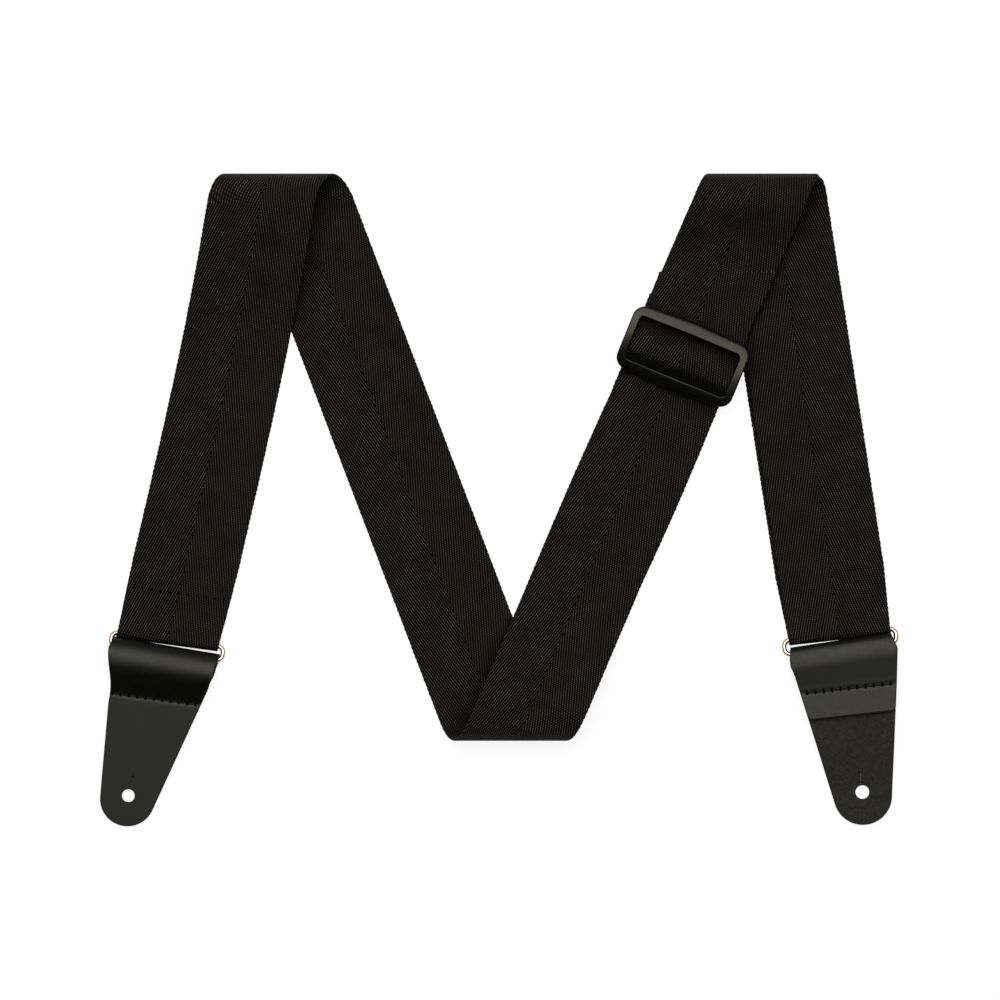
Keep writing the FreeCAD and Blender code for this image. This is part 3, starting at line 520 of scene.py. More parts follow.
def webbing_runs():
    """The strap from its sewn end on the left ring to its sewn end on the slider, body by body."""
    left_turn = turn_back(
        HALF_THICKNESS, [bend(ROLL_RADIUS, 180 + LEFT_RISE)], LEFT_RISE, LEFT_EASE, HALF_THICKNESS, 0.0)
    tail = Piece(-LOOP_TAIL_LENGTH, HALF_THICKNESS, 0.0, LOOP_TAIL_LENGTH, 0.0)
    end_d = path_end(left_loop)[0]
    level = Piece(end_d, sewn_level, 180.0, end_d + LOOP_TAIL_LENGTH, 0.0)
    step = lay(-LOOP_TAIL_LENGTH, sewn_level, 180.0, climb(LOOP_STEP_LENGTH, SEAM_PITCH))
    on_left_bar = bench_stations(
        left_bar, lambda d, share: left_drift * d, pinched(left_reach, left_drift))
    left = walk([tail] + left_loop + [level] + step, on_left_bar)
    left += leg_1_stations(left_turn)
    left += walk(left_turn[1:], leg_stations(TOP_FOLD_Y, 1, leg_1))[::-1]
    left += walk(left_turn[:1], fold_stations(TOP_FOLD_Y, 1, leg_2, leg_1, left_turn[0]))[::-1]
    left += bridge(
        level_station(leg_2, TOP_FOLD_Y, 0, HALF_THICKNESS),
        level_station(leg_2, BOTTOM_FOLD_Y, 0, HALF_THICKNESS))
    left += walk(bottom_turn[:1], fold_stations(BOTTOM_FOLD_Y, -1, leg_2, leg_3, bottom_turn[0]))

    below = walk(bottom_turn[1:], leg_stations(BOTTOM_FOLD_Y, -1, leg_3))
    entry_moves = climb(SLIDER_APPROACH - HUMP_REACH, SLIDER_ENTRY_RISE)
    entry = walk(lay(-SLIDER_APPROACH, HALF_THICKNESS, 0.0, entry_moves), on_slider)
    below += bridge(below[-1], entry[0]) + entry

    low = HALF_THICKNESS + SLIDER_ENTRY_RISE
    wrap_top = centre_bar_level + wrap_radius
    top = wrap_top + LAYER_PITCH
    strap = lay(0.0, wrap_top, 0.0, climb(HUMP_REACH, strap_level - wrap_top))
    rise = climb(HUMP_REACH - HUMP_FLAT, top - low) + [straight(HUMP_FLAT)]
    hump = walk(lay(-HUMP_REACH, low, 0.0, rise) + beside(strap, LAYER_PITCH), in_slider)

    drop_start = SLIDER_TAIL_LENGTH + LAYER_GAP
    above = walk([Piece(HUMP_REACH, main_level, 0.0, drop_start - HUMP_REACH, 0.0)], on_slider)
    above += upper_run(0, main_level)

    outer, inner = leg_3_top_turn(0)[0], leg_3_top_turn(1)[0]
    right = walk([outer], fold_stations(TOP_FOLD_Y, 1, leg_4, leg_3, outer, -RETURN_SIDESTEP))[::-1]
    return_level = HALF_THICKNESS + LAYER_PITCH
    right_loop = turn_back(HALF_THICKNESS, loop_bends, LOOP_RISE, LOOP_EASE, return_level, 0.0)
    end_d = path_end(right_loop)[0]
    arrive = Piece(-RING_TURN_LENGTH, HALF_THICKNESS, 0.0, RING_TURN_LENGTH, 0.0)
    leave = Piece(end_d, return_level, 180.0, end_d + RING_TURN_LENGTH, 0.0)
    on_right_bar = bench_stations(right_bar, right_across, pinched(RING_TURN_LENGTH, right_drift))
    round_ring = walk([arrive] + right_loop + [leave], on_right_bar)
    first, last = round_ring[0], round_ring[-1]
    first_flat = first._replace(ruling=first.ruling * -1)
    last_flat = last._replace(ruling=last.ruling * -1, normal=Vector((0, 0, 1)))
    right += bridge(level_station(leg_4, TOP_FOLD_Y, -RETURN_SIDESTEP, HALF_THICKNESS), first_flat)
    right += round_ring
    right += bridge(last_flat, level_station(leg_4, TOP_FOLD_Y, RETURN_SIDESTEP, return_level))
    right += walk([inner], fold_stations(TOP_FOLD_Y, 1, leg_4, leg_3, inner, RETURN_SIDESTEP))

    back = upper_run(1, strap_level)[::-1]

    tail_fall = climb(SLIDER_STEP_LENGTH, HALF_THICKNESS - centre_bar_level + wrap_radius)
    tail_length = SLIDER_TAIL_LENGTH + wrap_offset - SLIDER_STEP_LENGTH
    around = [straight(wrap_offset), bend(wrap_radius, 180)] + tail_fall + [straight(tail_length)]
    sewn = walk(strap + [Piece(HUMP_REACH, strap_level, 0.0, drop_start - HUMP_REACH, 0.0)], in_slider)[::-1]
    sewn += walk(lay(0.0, wrap_top, 180.0, around), in_slider)
    return left, below, hump, above, right, back, sewn


# ---------------------------------------------------------------- meshes of the webbing

# Columns across the webbing: side, distance in from the edge, height and share of the selvedge
EDGE_ROUND = 0.5
COLUMNS = []
for place, share in ((EDGE_ROUND, 0.7), (1.1, 0.2), (3.0, 0.0), (11.0, 0.0)):
    COLUMNS.append((-1, place, 1.0, share))
COLUMNS.append((0, 0.0, 1.0, 0.0))
COLUMNS += [(1, place, 1.0, share) for _, place, _, share in COLUMNS[3::-1]]
for angle in (45, 0, -45):
    COLUMNS.append((1, EDGE_ROUND * (1 - cosine(angle)), sine(angle), 1.0))
COLUMNS += [(-side, place, -1.0, share) for side, place, _, share in COLUMNS[:9]]
COLUMNS += [(-1, place, -height, 1.0) for _, place, height, _ in COLUMNS[9:12]]


def selvedge(run, side):
    """How far the weft loops stand out of the edge at this run of webbing."""
    turn = run / SELVEDGE_PITCH
    bump = abs(math.sin(math.pi * turn)) ** 0.6
    uneven = 0.7 + 0.6 * scatter(math.floor(turn) * 2 + side)
    return SELVEDGE_DEPTH * (bump * uneven - 0.6)


def mesh_object(name, points, faces, materials, face_slots=None, weave=None):
    """A smooth-shaded object at the origin, with creases kept sharp."""
    mesh = bpy.data.meshes.new(name)
    mesh.from_pydata([Vector(point) * MM for point in points], [], faces)
    if weave is not None:
        layer = mesh.uv_layers.new(name="weave")
        for loop in mesh.loops:
            layer.data[loop.index].uv = (weave[loop.vertex_index][0] * MM, weave[loop.vertex_index][1] * MM)
    for material in materials:
        mesh.materials.append(material)
    if face_slots:
        mesh.polygons.foreach_set("material_index", face_slots)
    mesh.shade_smooth()
    mesh.set_sharp_from_angle(angle=math.radians(SHARP_ANGLE))
    mesh.validate()
    mesh.update()
    made = bpy.data.objects.new(name, mesh)
    bpy.context.scene.collection.objects.link(made)
    return made


def tube_faces(rows, around, closed=False):
    """Four-sided faces between rings of points that follow one another."""
    faces = []
    for row in range(rows if closed else rows - 1):
        a, b = row * around, (row + 1) % rows * around
        for column in range(around):
            after = (column + 1) % around
            faces.append((a + column, a + after, b + after, b + column))
    return faces


def aligned(stations, model):
    """Stations without repeats, with no flip of ruling or normal from one to the next."""
    kept = []
    for station in stations:
        if kept and (station.centre - kept[-1].centre).length < 0.01:
            continue
        model = like(model, station)
        kept.append(model)
    return kept


def webbing_piece(name, stations, run, material):
    """One stretch of webbing, with weave coordinates that count on from `run`."""
    points, weave = [], []
    half_strap = WEBBING_WIDTH / 2
    for index, station in enumerate(stations):
        before = stations[max(index - 1, 0)].centre
        after = stations[min(index + 1, len(stations) - 1)].centre
        if index:
            run += (station.centre - before).length
        way = (after - before).normalized()
        skew = station.ruling.dot(way)
        straightness = math.sqrt(1 - skew * skew)
        for side, place, height, share in COLUMNS:
            reach = side * (half_strap - place) / half_strap * station.half_width
            run_here = run + reach * skew
            if share:
                reach += side * share * selvedge(run_here, side)
            lift = station.normal * (height * HALF_THICKNESS)
            points.append(station.centre + station.ruling * reach + lift)
            weave.append((reach * straightness, run_here))
    width = len(COLUMNS)
    faces = tube_faces(len(stations), width)
    faces += [range(width)[::-1], range(len(points) - width, len(points))]
    first, second = stations[:2]
    if first.ruling.cross(first.normal).dot(second.centre - first.centre) < 0:
        faces = [face[::-1] for face in faces]
    return mesh_object(name, points, faces, [material], weave=weave), run


# ---------------------------------------------------------------- materials


def hex_linear(code):
    """An sRGB hex colour as linear RGBA."""
    channels = [int(code[i:i + 2], 16) / 255 for i in (0, 2, 4)]
    return [c / 12.92 if c <= 0.04045 else ((c + 0.055) / 1.055) ** 2.4 for c in channels] + [1.0]


def add_node(tree, kind, inputs=None, **settings):
    """Add one node with its settings. An input is a value, a socket, or a node's first output."""
    made = tree.nodes.new(kind)
    for key, value in settings.items():
        setattr(made, key, value)
    for key, value in (inputs or {}).items():
        if isinstance(value, bpy.types.Node):
            value = value.outputs[0]
        if isinstance(value, bpy.types.NodeSocket):
            tree.links.new(value, made.inputs[key])
        else:
            made.inputs[key].default_value = value
    return made


def new_material(name):
    material = bpy.data.materials.new(name)
    material.use_nodes = True
    material.node_tree.nodes.clear()
    return material, material.node_tree


def maths(tree, kind, *values, **settings):
    return add_node(tree, "ShaderNodeMath", dict(enumerate(values)), operation=kind, **settings)


def map_range(tree, value, given, wanted=(0.0, 1.0), **settings):
    """The value moved from one range to another."""
    ends = {"From Min": given[0], "From Max": given[1], "To Min": wanted[0], "To Max": wanted[1]}
    return add_node(tree, "ShaderNodeMapRange", {"Value": value, **ends}, **settings)


def noise(tree, place, size, detail, **inputs):
    """Soft noise with features of about `size` millimetres."""
    return add_node(
        tree, "ShaderNodeTexNoise", {"Vector": place, "Scale": 1 / (size * MM), "Detail": detail, **inputs})


def bump(tree, height, strength, depth, **inputs):
    return add_node(
        tree, "ShaderNodeBump", {"Strength": strength, "Distance": depth * MM, "Height": height, **inputs})


def colour_ramp(tree, factor, *stops):
    """Colours by position, as hex codes."""
    made = add_node(tree, "ShaderNodeValToRGB", {0: factor})
    elements = made.color_ramp.elements
    while len(elements) < len(stops):
        elements.new(0.5)
    for element, (position, code) in zip(elements, stops):
        element.position = position
        element.color = hex_linear(code)
    return made


def finish_material(tree, **inputs):
    """The surface shader with named inputs, joined to the output."""
    names = {key.replace("_", " "): value for key, value in inputs.items()}
    shader = add_node(tree, "ShaderNodeBsdfPrincipled", names)
    add_node(tree, "ShaderNodeOutputMaterial", {"Surface": shader})


def dot_row(tree, split, pitch, radius, run=None, reach=0.0):
    """0 in a row of round dots and 1 elsewhere: down the centre line, or across the strap at one run."""
    across, along = split.outputs["X"], split.outputs["Y"]
    way, off = (along, across) if run is None else (across, along)
    from_dot = maths(tree, "WRAP", way, pitch / 2 * MM, -pitch / 2 * MM)
    from_row = maths(tree, "SUBTRACT", off, (run or 0.0) * MM)
    if run is not None:
        from_row = maths(tree, "ADD", from_row, maths(tree, "MULTIPLY", way, left_drift))
    place = add_node(tree, "ShaderNodeCombineXYZ", {0: from_dot, 1: from_row})
    away = add_node(tree, "ShaderNodeVectorMath", {0: place}, operation="LENGTH")
    clear = map_range(
        tree, away.outputs["Value"], (radius * 0.6 * MM, radius * 1.4 * MM), interpolation_type="SMOOTHSTEP")
    if run is None:
        return clear
    beyond = maths(tree, "GREATER_THAN", maths(tree, "ABSOLUTE", way), reach * MM)
    return maths(tree, "MAXIMUM", clear, beyond)


def herringbone_webbing():
    """Black polyester webbing in herringbone twill: dull, with specks and soft patches; its colour carries
    painted highlight on the floats and painted shade in gaps, holes and under overlaps.
    """
    material, tree = new_material("black herringbone polyester webbing")
    weave = add_node(tree, "ShaderNodeUVMap", uv_map="weave")
    split = add_node(tree, "ShaderNodeSeparateXYZ", {0: weave})
    across = maths(tree, "ABSOLUTE", split.outputs["X"])
    right_half = maths(tree, "GREATER_THAN", split.outputs["X"], 0.0)
    place = add_node(tree, "ShaderNodeCombineXYZ", {0: across, 1: split.outputs["Y"], 2: right_half})

    def ridges(angle, pitch, half_shift, given, low):
        scale = (cosine(angle) / (pitch * MM), sine(angle) / (pitch * MM), half_shift)
        count = add_node(tree, "ShaderNodeVectorMath", {0: place, 1: scale}, operation="DOT_PRODUCT")
        wave = maths(tree, "PINGPONG", count.outputs["Value"], 0.5)
        return map_range(tree, wave, given, (low, 1.0), interpolation_type="SMOOTHSTEP")

    # Ribs slope back from the centre line, and the two halves meet half a rib apart.
    # Slanting gaps cut each rib into short floats.
    ribs = ridges(RIB_ANGLE, RIB_PITCH, 0.5, (0.06, 0.42), 0.0)
    floats = ridges(-GAP_ANGLE, GAP_PITCH, 0.0, (0.0, 0.4), 0.3)
    specks = map_range(tree, noise(tree, weave, 0.35, 2.0), (0.3, 0.75), (0.7, 1.3))
    patches = map_range(tree, noise(tree, weave, 12.0, 3.0), (0.3, 0.7), (0.85, 1.15))
    # Painted shade: the centre-line pits and the needle holes of the loop seam are darker dots, and sit lower
    # in the bump.
    pits = dot_row(tree, split, RIB_PITCH / sine(RIB_ANGLE), PIT_RADIUS)
    needles = dot_row(
        tree, split, LOOP_STITCH_PITCH, LOOP_NEEDLE_RADIUS, LOOP_SEAM_RUN,
        LOOP_STITCH_PITCH * LOOP_NEEDLE_REACH)
    tone = maths(tree, "MULTIPLY", ribs, floats)
    for share in (maths(tree, "MULTIPLY", specks, patches), pits, needles):
        tone = maths(tree, "MULTIPLY", tone, share)
    # Painted shade: an ambient occlusion node darkens the colour where the strap lies under an overlap or in
    # the mouth of a roll.
    painted_overlap_shade = add_node(tree, "ShaderNodeAmbientOcclusion", {"Distance": PAINTED_SHADE_REACH * MM}, samples=6)
    shaded = maths(tree, "MULTIPLY", tone, map_range(tree, painted_overlap_shade.outputs["AO"], (0.35, 0.9), (0.3, 1.0)))
    # The colour follows the weave's height: painted highlight on the raised floats and painted shade in the
    # gaps between them.
    colour = colour_ramp(tree, shaded, (0.0, "040302"), (0.3, "0F0E0C"), (0.75, "343230"), (1.0, "4E4B48"))
    finish_material(
        tree, Base_Color=colour, Roughness=0.72, Specular_IOR_Level=0.06, Sheen_Weight=0.03,
        Sheen_Roughness=0.4, Normal=bump(tree, tone, 0.7, 0.3))
    return material


def grain_leather():
    """Black pigmented leather, drum dyed and pressed smooth: a soft satin shine over fine pores."""
    material, tree = new_material("black pigmented leather, grain side")
    place = add_node(tree, "ShaderNodeTexCoord").outputs["Object"]
    pores = add_node(
        tree, "ShaderNodeTexVoronoi", {"Vector": place, "Scale": 1 / (0.55 * MM), "Randomness": 1.0},
        feature="DISTANCE_TO_EDGE")
    creases = noise(tree, place, 2.5, 6.0)
    relief = bump(tree, pores.outputs["Distance"], 0.06, 0.1)
    relief = bump(tree, creases, 0.08, 0.2, Normal=relief)
    # Needle holes hold no shine.
    needle = add_node(tree, "ShaderNodeAttribute", attribute_name="needle").outputs["Fac"]
    finish_material(
        tree, Base_Color=colour_ramp(tree, noise(tree, place, 9.0, 4.0), (0.3, "070706"), (0.7, "0B0B0A")),
        Roughness=map_range(tree, creases, (0.3, 0.7), (0.36, 0.44)),
        Specular_IOR_Level=map_range(tree, needle, (0.15, 0.6), (0.33, 0.0)),
        Specular_Tint=hex_linear("FFFDEE"), Normal=relief)
    return material


def flesh_leather():
    """The split flesh side of the same leather: napped, grey-brown and quite without shine."""
    material, tree = new_material("black leather, napped flesh side")
    place = add_node(tree, "ShaderNodeTexCoord").outputs["Object"]
    nap = noise(tree, place, 0.8, 5.0, Roughness=0.65)
    tone = maths(tree, "MULTIPLY", maths(tree, "ADD", nap, noise(tree, place, 1.6, 3.0)), 0.5)
    finish_material(
        tree, Base_Color=colour_ramp(tree, tone, (0.35, "292924"), (0.5, "32312C"), (0.65, "3B3A35")),
        Roughness=0.95, Specular_IOR_Level=0.1, Sheen_Weight=0.1, Normal=bump(tree, nap, 0.5, 0.25))
    return material


def nickel_plate():
    """Bright nickel on steel wire: warm, nearly a mirror, with faint marks."""
    material, tree = new_material("bright nickel plate on steel wire")
    marks = noise(tree, add_node(tree, "ShaderNodeTexCoord").outputs["Object"], 0.7, 3.0)
    finish_material(
        tree, Base_Color=hex_linear("D9CDB8"), Metallic=1.0,
        Roughness=map_range(tree, marks, (0.3, 0.7), (0.12, 0.24)), Normal=bump(tree, marks, 0.05, 0.1))
    return material


def plain_surface(name, grain, relief, stops, cloud=None, **shader):
    """One noise for the relief, which colours the surface too unless a slower cloud does.

    The grain and the cloud are a size and a detail, and the relief a strength and a depth.
    """
    material, tree = new_material(name)
    place = add_node(tree, "ShaderNodeTexCoord").outputs["Object"]
    fine = noise(tree, place, *grain)
    colour = colour_ramp(tree, noise(tree, place, *cloud) if cloud else fine, *stops)
    finish_material(tree, Base_Color=colour, Normal=bump(tree, fine, *relief), **shader)
    return material


def white_paper():
    """The white paper sweep under the strap: white to the eye and in reflections, with a soft shadow."""
    material, tree = new_material("white paper floor")
    path = add_node(tree, "ShaderNodeLightPath")
    seen = maths(tree, "ADD", path.outputs["Is Camera Ray"], path.outputs["Is Glossy Ray"])
    seen = maths(tree, "ADD", seen, path.outputs["Is Transmission Ray"], use_clamp=True)
    paper = add_node(tree, "ShaderNodeBsdfDiffuse", {"Color": hex_linear("F4F4F4")})
    glow = add_node(tree, "ShaderNodeEmission", {"Color": hex_linear("FFFFFF"), "Strength": 1.2})
    mixed = add_node(tree, "ShaderNodeMixShader", {0: maths(tree, "MULTIPLY", seen, 0.72), 1: paper, 2: glow})
    add_node(tree, "ShaderNodeOutputMaterial", {"Surface": mixed})
    return material


webbing_finish = herringbone_webbing()
grain_finish = grain_leather()
flesh_finish = flesh_leather()
# Raw brown-black fibres
cut_finish = plain_surface(
    "black leather, cut edge", (0.6, 4.0), (0.5, 0.15), ((0.3, "14120D"), (0.7, "2E2819")),
    Roughness=0.85, Specular_IOR_Level=0.2)
nickel_finish = nickel_plate()
# Very dark, with a slightly yellow shine
slider_finish = plain_surface(
    "black acetal, spark-textured moulding", (0.35, 3.0), (0.12, 0.08), ((0.3, "050504"), (0.7, "080807")),
    (7.0, 2.0), Roughness=0.27, Specular_IOR_Level=0.34, Specular_Tint=hex_linear("FFFBE6"))
# A little shine, as waxed thread has
thread_finish = plain_surface(
    "black bonded polyester thread", (0.3, 2.0), (0.4, 0.1), ((0.3, "060606"), (0.7, "161516")),
    Roughness=0.6, Specular_IOR_Level=0.2)

# ---------------------------------------------------------------- camera, light and floor

FRAME_WIDTH = 482.0
LENS = 500.0
SENSOR = 36.0

camera_data = bpy.data.cameras.new("camera")
camera_data.lens = LENS
camera_data.sensor_width = SENSOR
camera_data.clip_end = 50.0
camera = bpy.data.objects.new("camera", camera_data)
camera.location = (0, 0, FRAME_WIDTH * MM * LENS / SENSOR)
bpy.context.scene.collection.objects.link(camera)
bpy.context.scene.camera = camera


def soft_box(name, tilt, distance, width, depth, radiance):
    """A rectangular light that faces the strap, leaning `tilt` degrees from overhead towards +Y."""
    data = bpy.data.lights.new(name, "AREA")
    data.shape = "RECTANGLE"
    data.size = width
    data.size_y = depth
    data.energy = radiance * math.pi * width * depth
    made = bpy.data.objects.new(name, data)
    made.location = (0, distance * sine(tilt), distance * cosine(tilt))
    made.rotation_euler = (math.radians(-tilt), 0, 0)
    made.visible_camera = False
    bpy.context.scene.collection.objects.link(made)


def black_card(tilt, distance, width, depth):
    """A black card that keeps the room's light off one side, facing the strap at a lean from overhead."""
    material, tree = new_material("black card")
    finish_material(tree, Base_Color=hex_linear("050505"), Roughness=1.0, Specular_IOR_Level=0.0)
    middle = Vector((0, distance * sine(tilt), distance * cosine(tilt))) / MM
    down = Vector((0, cosine(tilt), -sine(tilt))) * depth / 2 / MM
    side = Vector((width / 2, 0, 0)) / MM
    corners = [middle - side - down, middle + side - down, middle + side + down, middle - side + down]
    card = mesh_object("black card", corners, [(0, 1, 2, 3)], [material])
    card.visible_camera = False


soft_box("soft box", 18.5, 3.4, 3.4, 2.2, 3.4)
soft_box("overhead fill", -5.0, 3.4, 3.4, 1.0, 0.34)
black_card(-47.0, 3.2, 5.0, 2.9)

world = bpy.data.worlds.new("studio")
world.use_nodes = True
world.node_tree.nodes["Background"].inputs["Color"].default_value = (1, 1, 1, 1)
world.node_tree.nodes["Background"].inputs["Strength"].default_value = 0.14
bpy.context.scene.world = world
bpy.context.scene.view_settings.view_transform = "Standard"

FLOOR_REACH = 8000.0
FLOOR_DROP = 0.05
floor_corners = [
    (x * FLOOR_REACH, y * FLOOR_REACH, -FLOOR_DROP) for x, y in ((-1, -1), (1, -1), (1, 1), (-1, 1))]
mesh_object("floor", floor_corners, [(0, 1, 2, 3)], [white_paper()])

# ---------------------------------------------------------------- the webbing

# Each visible piece from the left ring to the slider: its name, the body it rides on, if it rides on only
# one, and the nodes it stands for
STRAP = (
    ("webbing_left", "webbing", ("left_end_loop", "leg_1", "fold_top_left", "leg_2", "fold_bottom")),
    ("webbing_below_slider", None, ("leg_3_lower",)),
    ("webbing_in_slider", "slider", ("over_slider_bar",)),
    ("webbing_above_slider", None, ("leg_3_upper",)),
    ("webbing_right", "webbing", ("fold_top_right", "leg_4", "ring_turn", "return_leg_4", "return_fold")),
    ("webbing_return", None, ("return_leg_3",)),
    ("webbing_slider_tail", "slider", ("slider_loop",)),
)
run = 0.0
model = Station(left_bar.origin, left_bar.across, left_bar.up, 0.0)
strap = {}
for (name, body, nodes), stations in zip(STRAP, webbing_runs()):
    stations = aligned(stations, model)
    model = stations[-1]
    start_run = run
    piece, run = webbing_piece(name, stations, run, webbing_finish)
    strap[name] = (piece, stations, run - start_run)
    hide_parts(*(f"webbing_{node}" for node in nodes))
    if body:
        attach(piece, body)


def blend_strap(names, foot):
    """Bake each piece's placement into its mesh. The foot, where every corner of the folded ends stays put,
    is not used.
    """
    for name in names:
        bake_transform(strap[name][0])


blend_strap(
    ("webbing_below_slider",),
    walk(bottom_turn[1:], leg_stations(BOTTOM_FOLD_Y, -1, leg_3))[-1].centre * MM)
blend_strap(
    ("webbing_above_slider", "webbing_return"),
    walk(leg_3_top_turn(0)[1:], leg_stations(TOP_FOLD_Y, 1, leg_3))[-1].centre * MM)

# ---------------------------------------------------------------- rings

RING_CORNER_STEPS = 12
WIRE_SIDES = 20


def wire_ring(name, bench):
    """A wire bent to a rounded oblong. The joint of its two ends is not shaped."""
    half_length = (RING_LENGTH - WIRE_DIAMETER) / 2 - RING_CORNER_RADIUS
    half_height = BAR_SPACING / 2 - RING_CORNER_RADIUS
    path = []
    for corner, (x, y) in enumerate(((1, 1), (-1, 1), (-1, -1), (1, -1))):
        for step in range(RING_CORNER_STEPS + 1):
            angle = 90 * (corner + step / RING_CORNER_STEPS)
            out = Vector((cosine(angle), sine(angle)))
            path.append((Vector((x * half_length, y * half_height)) + out * RING_CORNER_RADIUS, out))
    points = []
    for place, out in path:
        for turn in range(WIRE_SIDES):
            angle = 360 * turn / WIRE_SIDES
            reach = WIRE_DIAMETER / 2 * cosine(angle)
            points.append(on_bench(
                bench, place.x + out.x * reach, place.y + out.y * reach, WIRE_DIAMETER / 2 * sine(angle)))
    # Turned inside out, each face still starts at its first corner.
    faces = [(a, d, c, b) for a, b, c, d in tube_faces(len(path), WIRE_SIDES, closed=True)]
    ring = mesh_object(name, points, faces, [nickel_finish])
    return ring


for side, bench in (("left", left_ring_bench), ("right", right_ring_bench)):
    ring = wire_ring(f"{side}_wire_ring", bench)
    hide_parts(f"{side}_ring")
    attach(ring, f"{side}_ring")

# ---------------------------------------------------------------- slider


def rounded_outline(corners, radii, spacing):
    """Points round a polygon with each corner turned into an arc of its own radius."""
    outline = []
    count = len(corners)
    for index, corner in enumerate(corners):
        before = (corners[index - 1] - corner).normalized()
        after = (corners[(index + 1) % count] - corner).normalized()
        half = before.angle(after) / 2
        radius = radii[index]
        setback = radius / math.tan(half)
        centre = corner + (before + after).normalized() * (radius / math.sin(half))
        start, finish = corner + before * setback, corner + after * setback
        sweep = math.pi - 2 * half
        steps = max(3, math.ceil(radius * sweep / spacing))
        first = math.atan2(start.y - centre.y, start.x - centre.x)
        turn = math.atan2(finish.y - centre.y, finish.x - centre.x) - first
        turn = (turn + math.pi) % (2 * math.pi) - math.pi
        for step in range(steps + 1):
            angle = first + turn * step / steps
            outline.append(centre + Vector((math.cos(angle), math.sin(angle))) * radius)
    return outline


OUTLINE_POINTS = 480


def resampled(outline):
    """The outline as points at even angles round its middle, so two outlines can be paired."""
    points = []
    for index in range(OUTLINE_POINTS):
        angle = 2 * math.pi * index / OUTLINE_POINTS
        ray = Vector((math.cos(angle), math.sin(angle)))
        best = None
        for a, b in zip(outline, outline[1:] + outline[:1]):
            edge = b - a
            cross = ray.x * edge.y - ray.y * edge.x
            if abs(cross) < 1e-9:
                continue
            reach = (a.x * edge.y - a.y * edge.x) / cross
            share = (a.x * ray.y - a.y * ray.x) / cross
            if reach > 0 and -1e-6 <= share <= 1 + 1e-6 and (best is None or reach < best):
                best = reach
        points.append(ray * best)
    return points


def slider_frame():
    """The moulded slider's arched frame with softened edges. Its centre bar on two lugs is made apart, as
    softened blocks.
    """
    half_length = WINDOW_LENGTH / 2 + END_BAR_WIDTH
    end_half = WINDOW_HEIGHT / 2 + LONG_BAR_WIDTH
    outer = rounded_outline(
        [Vector(p) for p in (
            (-half_length, -end_half), (0, -frame_half_height), (half_length, -end_half),
            (half_length, end_half), (0, frame_half_height), (-half_length, end_half))],
        [FRAME_CORNER_RADIUS, APEX_ROUND_RADIUS, FRAME_CORNER_RADIUS] * 2, 0.4)
    inner = rounded_outline(
        [Vector((x * WINDOW_LENGTH / 2, y * WINDOW_HEIGHT / 2))
         for x, y in ((-1, -1), (1, -1), (1, 1), (-1, 1))],
        [WINDOW_CORNER_RADIUS] * 4, 0.3)
    outer, inner = (resampled(outline) for outline in (outer, inner))
    soft = FRAME_EDGE_ROUND
    flat_height = FRAME_THICKNESS / 2 - soft

    def mirrored(rows):
        return [(share, shift, -height) for share, shift, height in rows[::-1]]

    def rim(side, way):
        upper = [
            (side, soft * way * (sine(turn) - 1), flat_height + soft * cosine(turn))
            for turn in (22, 45, 67, 90)]
        return upper + mirrored(upper)

    # The section from window to rim: share of the way across, then millimetres sideways and up
    top = [(share, soft * (1 - 2 * share), FRAME_THICKNESS / 2) for share in (0.0, 0.25, 0.5, 0.75, 1.0)]
    section = top + rim(1.0, 1) + mirrored(top) + rim(0.0, -1)[::-1]
    points = []
    for near, far in zip(inner, outer):
        span = far - near
        way = span.normalized()
        for share, shift, height in section:
            place = near + span * share + way * shift
            drop = FRAME_ARCH_RADIUS - math.sqrt(FRAME_ARCH_RADIUS**2 - place.y**2)
            lean = math.asin(place.y / FRAME_ARCH_RADIUS)
            points.append(on_bench(
                slider_bench, place.x, place.y + height * math.sin(lean),
                frame_middle - drop + height * math.cos(lean)))
    frame_piece = mesh_object(
        "slider_moulding", points, tube_faces(OUTLINE_POINTS, len(section), closed=True), [slider_finish])
    return frame_piece


def softened_block(name, bench, size, centre, edge_round, material):
    """A rectangular block with rounded edges."""
    shape = bmesh.new()
    bmesh.ops.create_cube(shape, size=1.0)
    for vertex in shape.verts:
        vertex.co = vertex.co * Vector(size) + Vector(centre)
    bmesh.ops.bevel(
        shape, geom=shape.edges[:], offset=edge_round, segments=4, profile=0.5, affect="EDGES",
        clamp_overlap=True)
    points = [on_bench(bench, *vertex.co) for vertex in shape.verts]
    faces = [[vertex.index for vertex in face.verts] for face in shape.faces]
    shape.free()
    return mesh_object(name, points, faces, [material])


BAR_EDGE_ROUND = 1.1
LUG_EDGE_ROUND = 0.4
LUG_CLEARANCE = 0.6

slider = slider_frame()
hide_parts("slider_frame")
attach(slider, "slider")
bar_low = centre_bar_level - CENTRE_BAR_THICKNESS / 2
bar_length = WINDOW_LENGTH + END_BAR_WIDTH
blocks = [(
    "slider_centre_bar", (bar_length, CENTRE_BAR_WIDTH, CENTRE_BAR_THICKNESS), (0, 0, centre_bar_level),
    BAR_EDGE_ROUND)]
for name, side in (("slider_lug_left", -1), ("slider_lug_right", 1)):
    blocks.append((
        name, (END_BAR_WIDTH - LUG_CLEARANCE, LUG_WIDTH, frame_middle - bar_low),
        (side * bar_length / 2, 0, (bar_low + frame_middle) / 2), LUG_EDGE_ROUND))
for name, size, centre, edge_round in blocks:
    part = softened_block(name, slider_bench, size, centre, edge_round, slider_finish)
    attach(part, "slider")

# ---------------------------------------------------------------- leather ends

EDGE_SOFTNESS = 0.45
HOLE_SOFTNESS = 0.3
RIM_WIDTH = 0.3
FLAP_CORNER = 2.2
SLIT_GAP = 0.008
LEFT_SLOPE = 2.2
RIGHT_SPRING = 3.5
TIP_RAMP = 26.0
TIP_RAMP_START = 70.0
FOLD_RAMP = 12.0
SPRING_RADIUS = 12.0
SEAM_STITCHES = 10
SEAM_STITCH_PITCH = 4.05
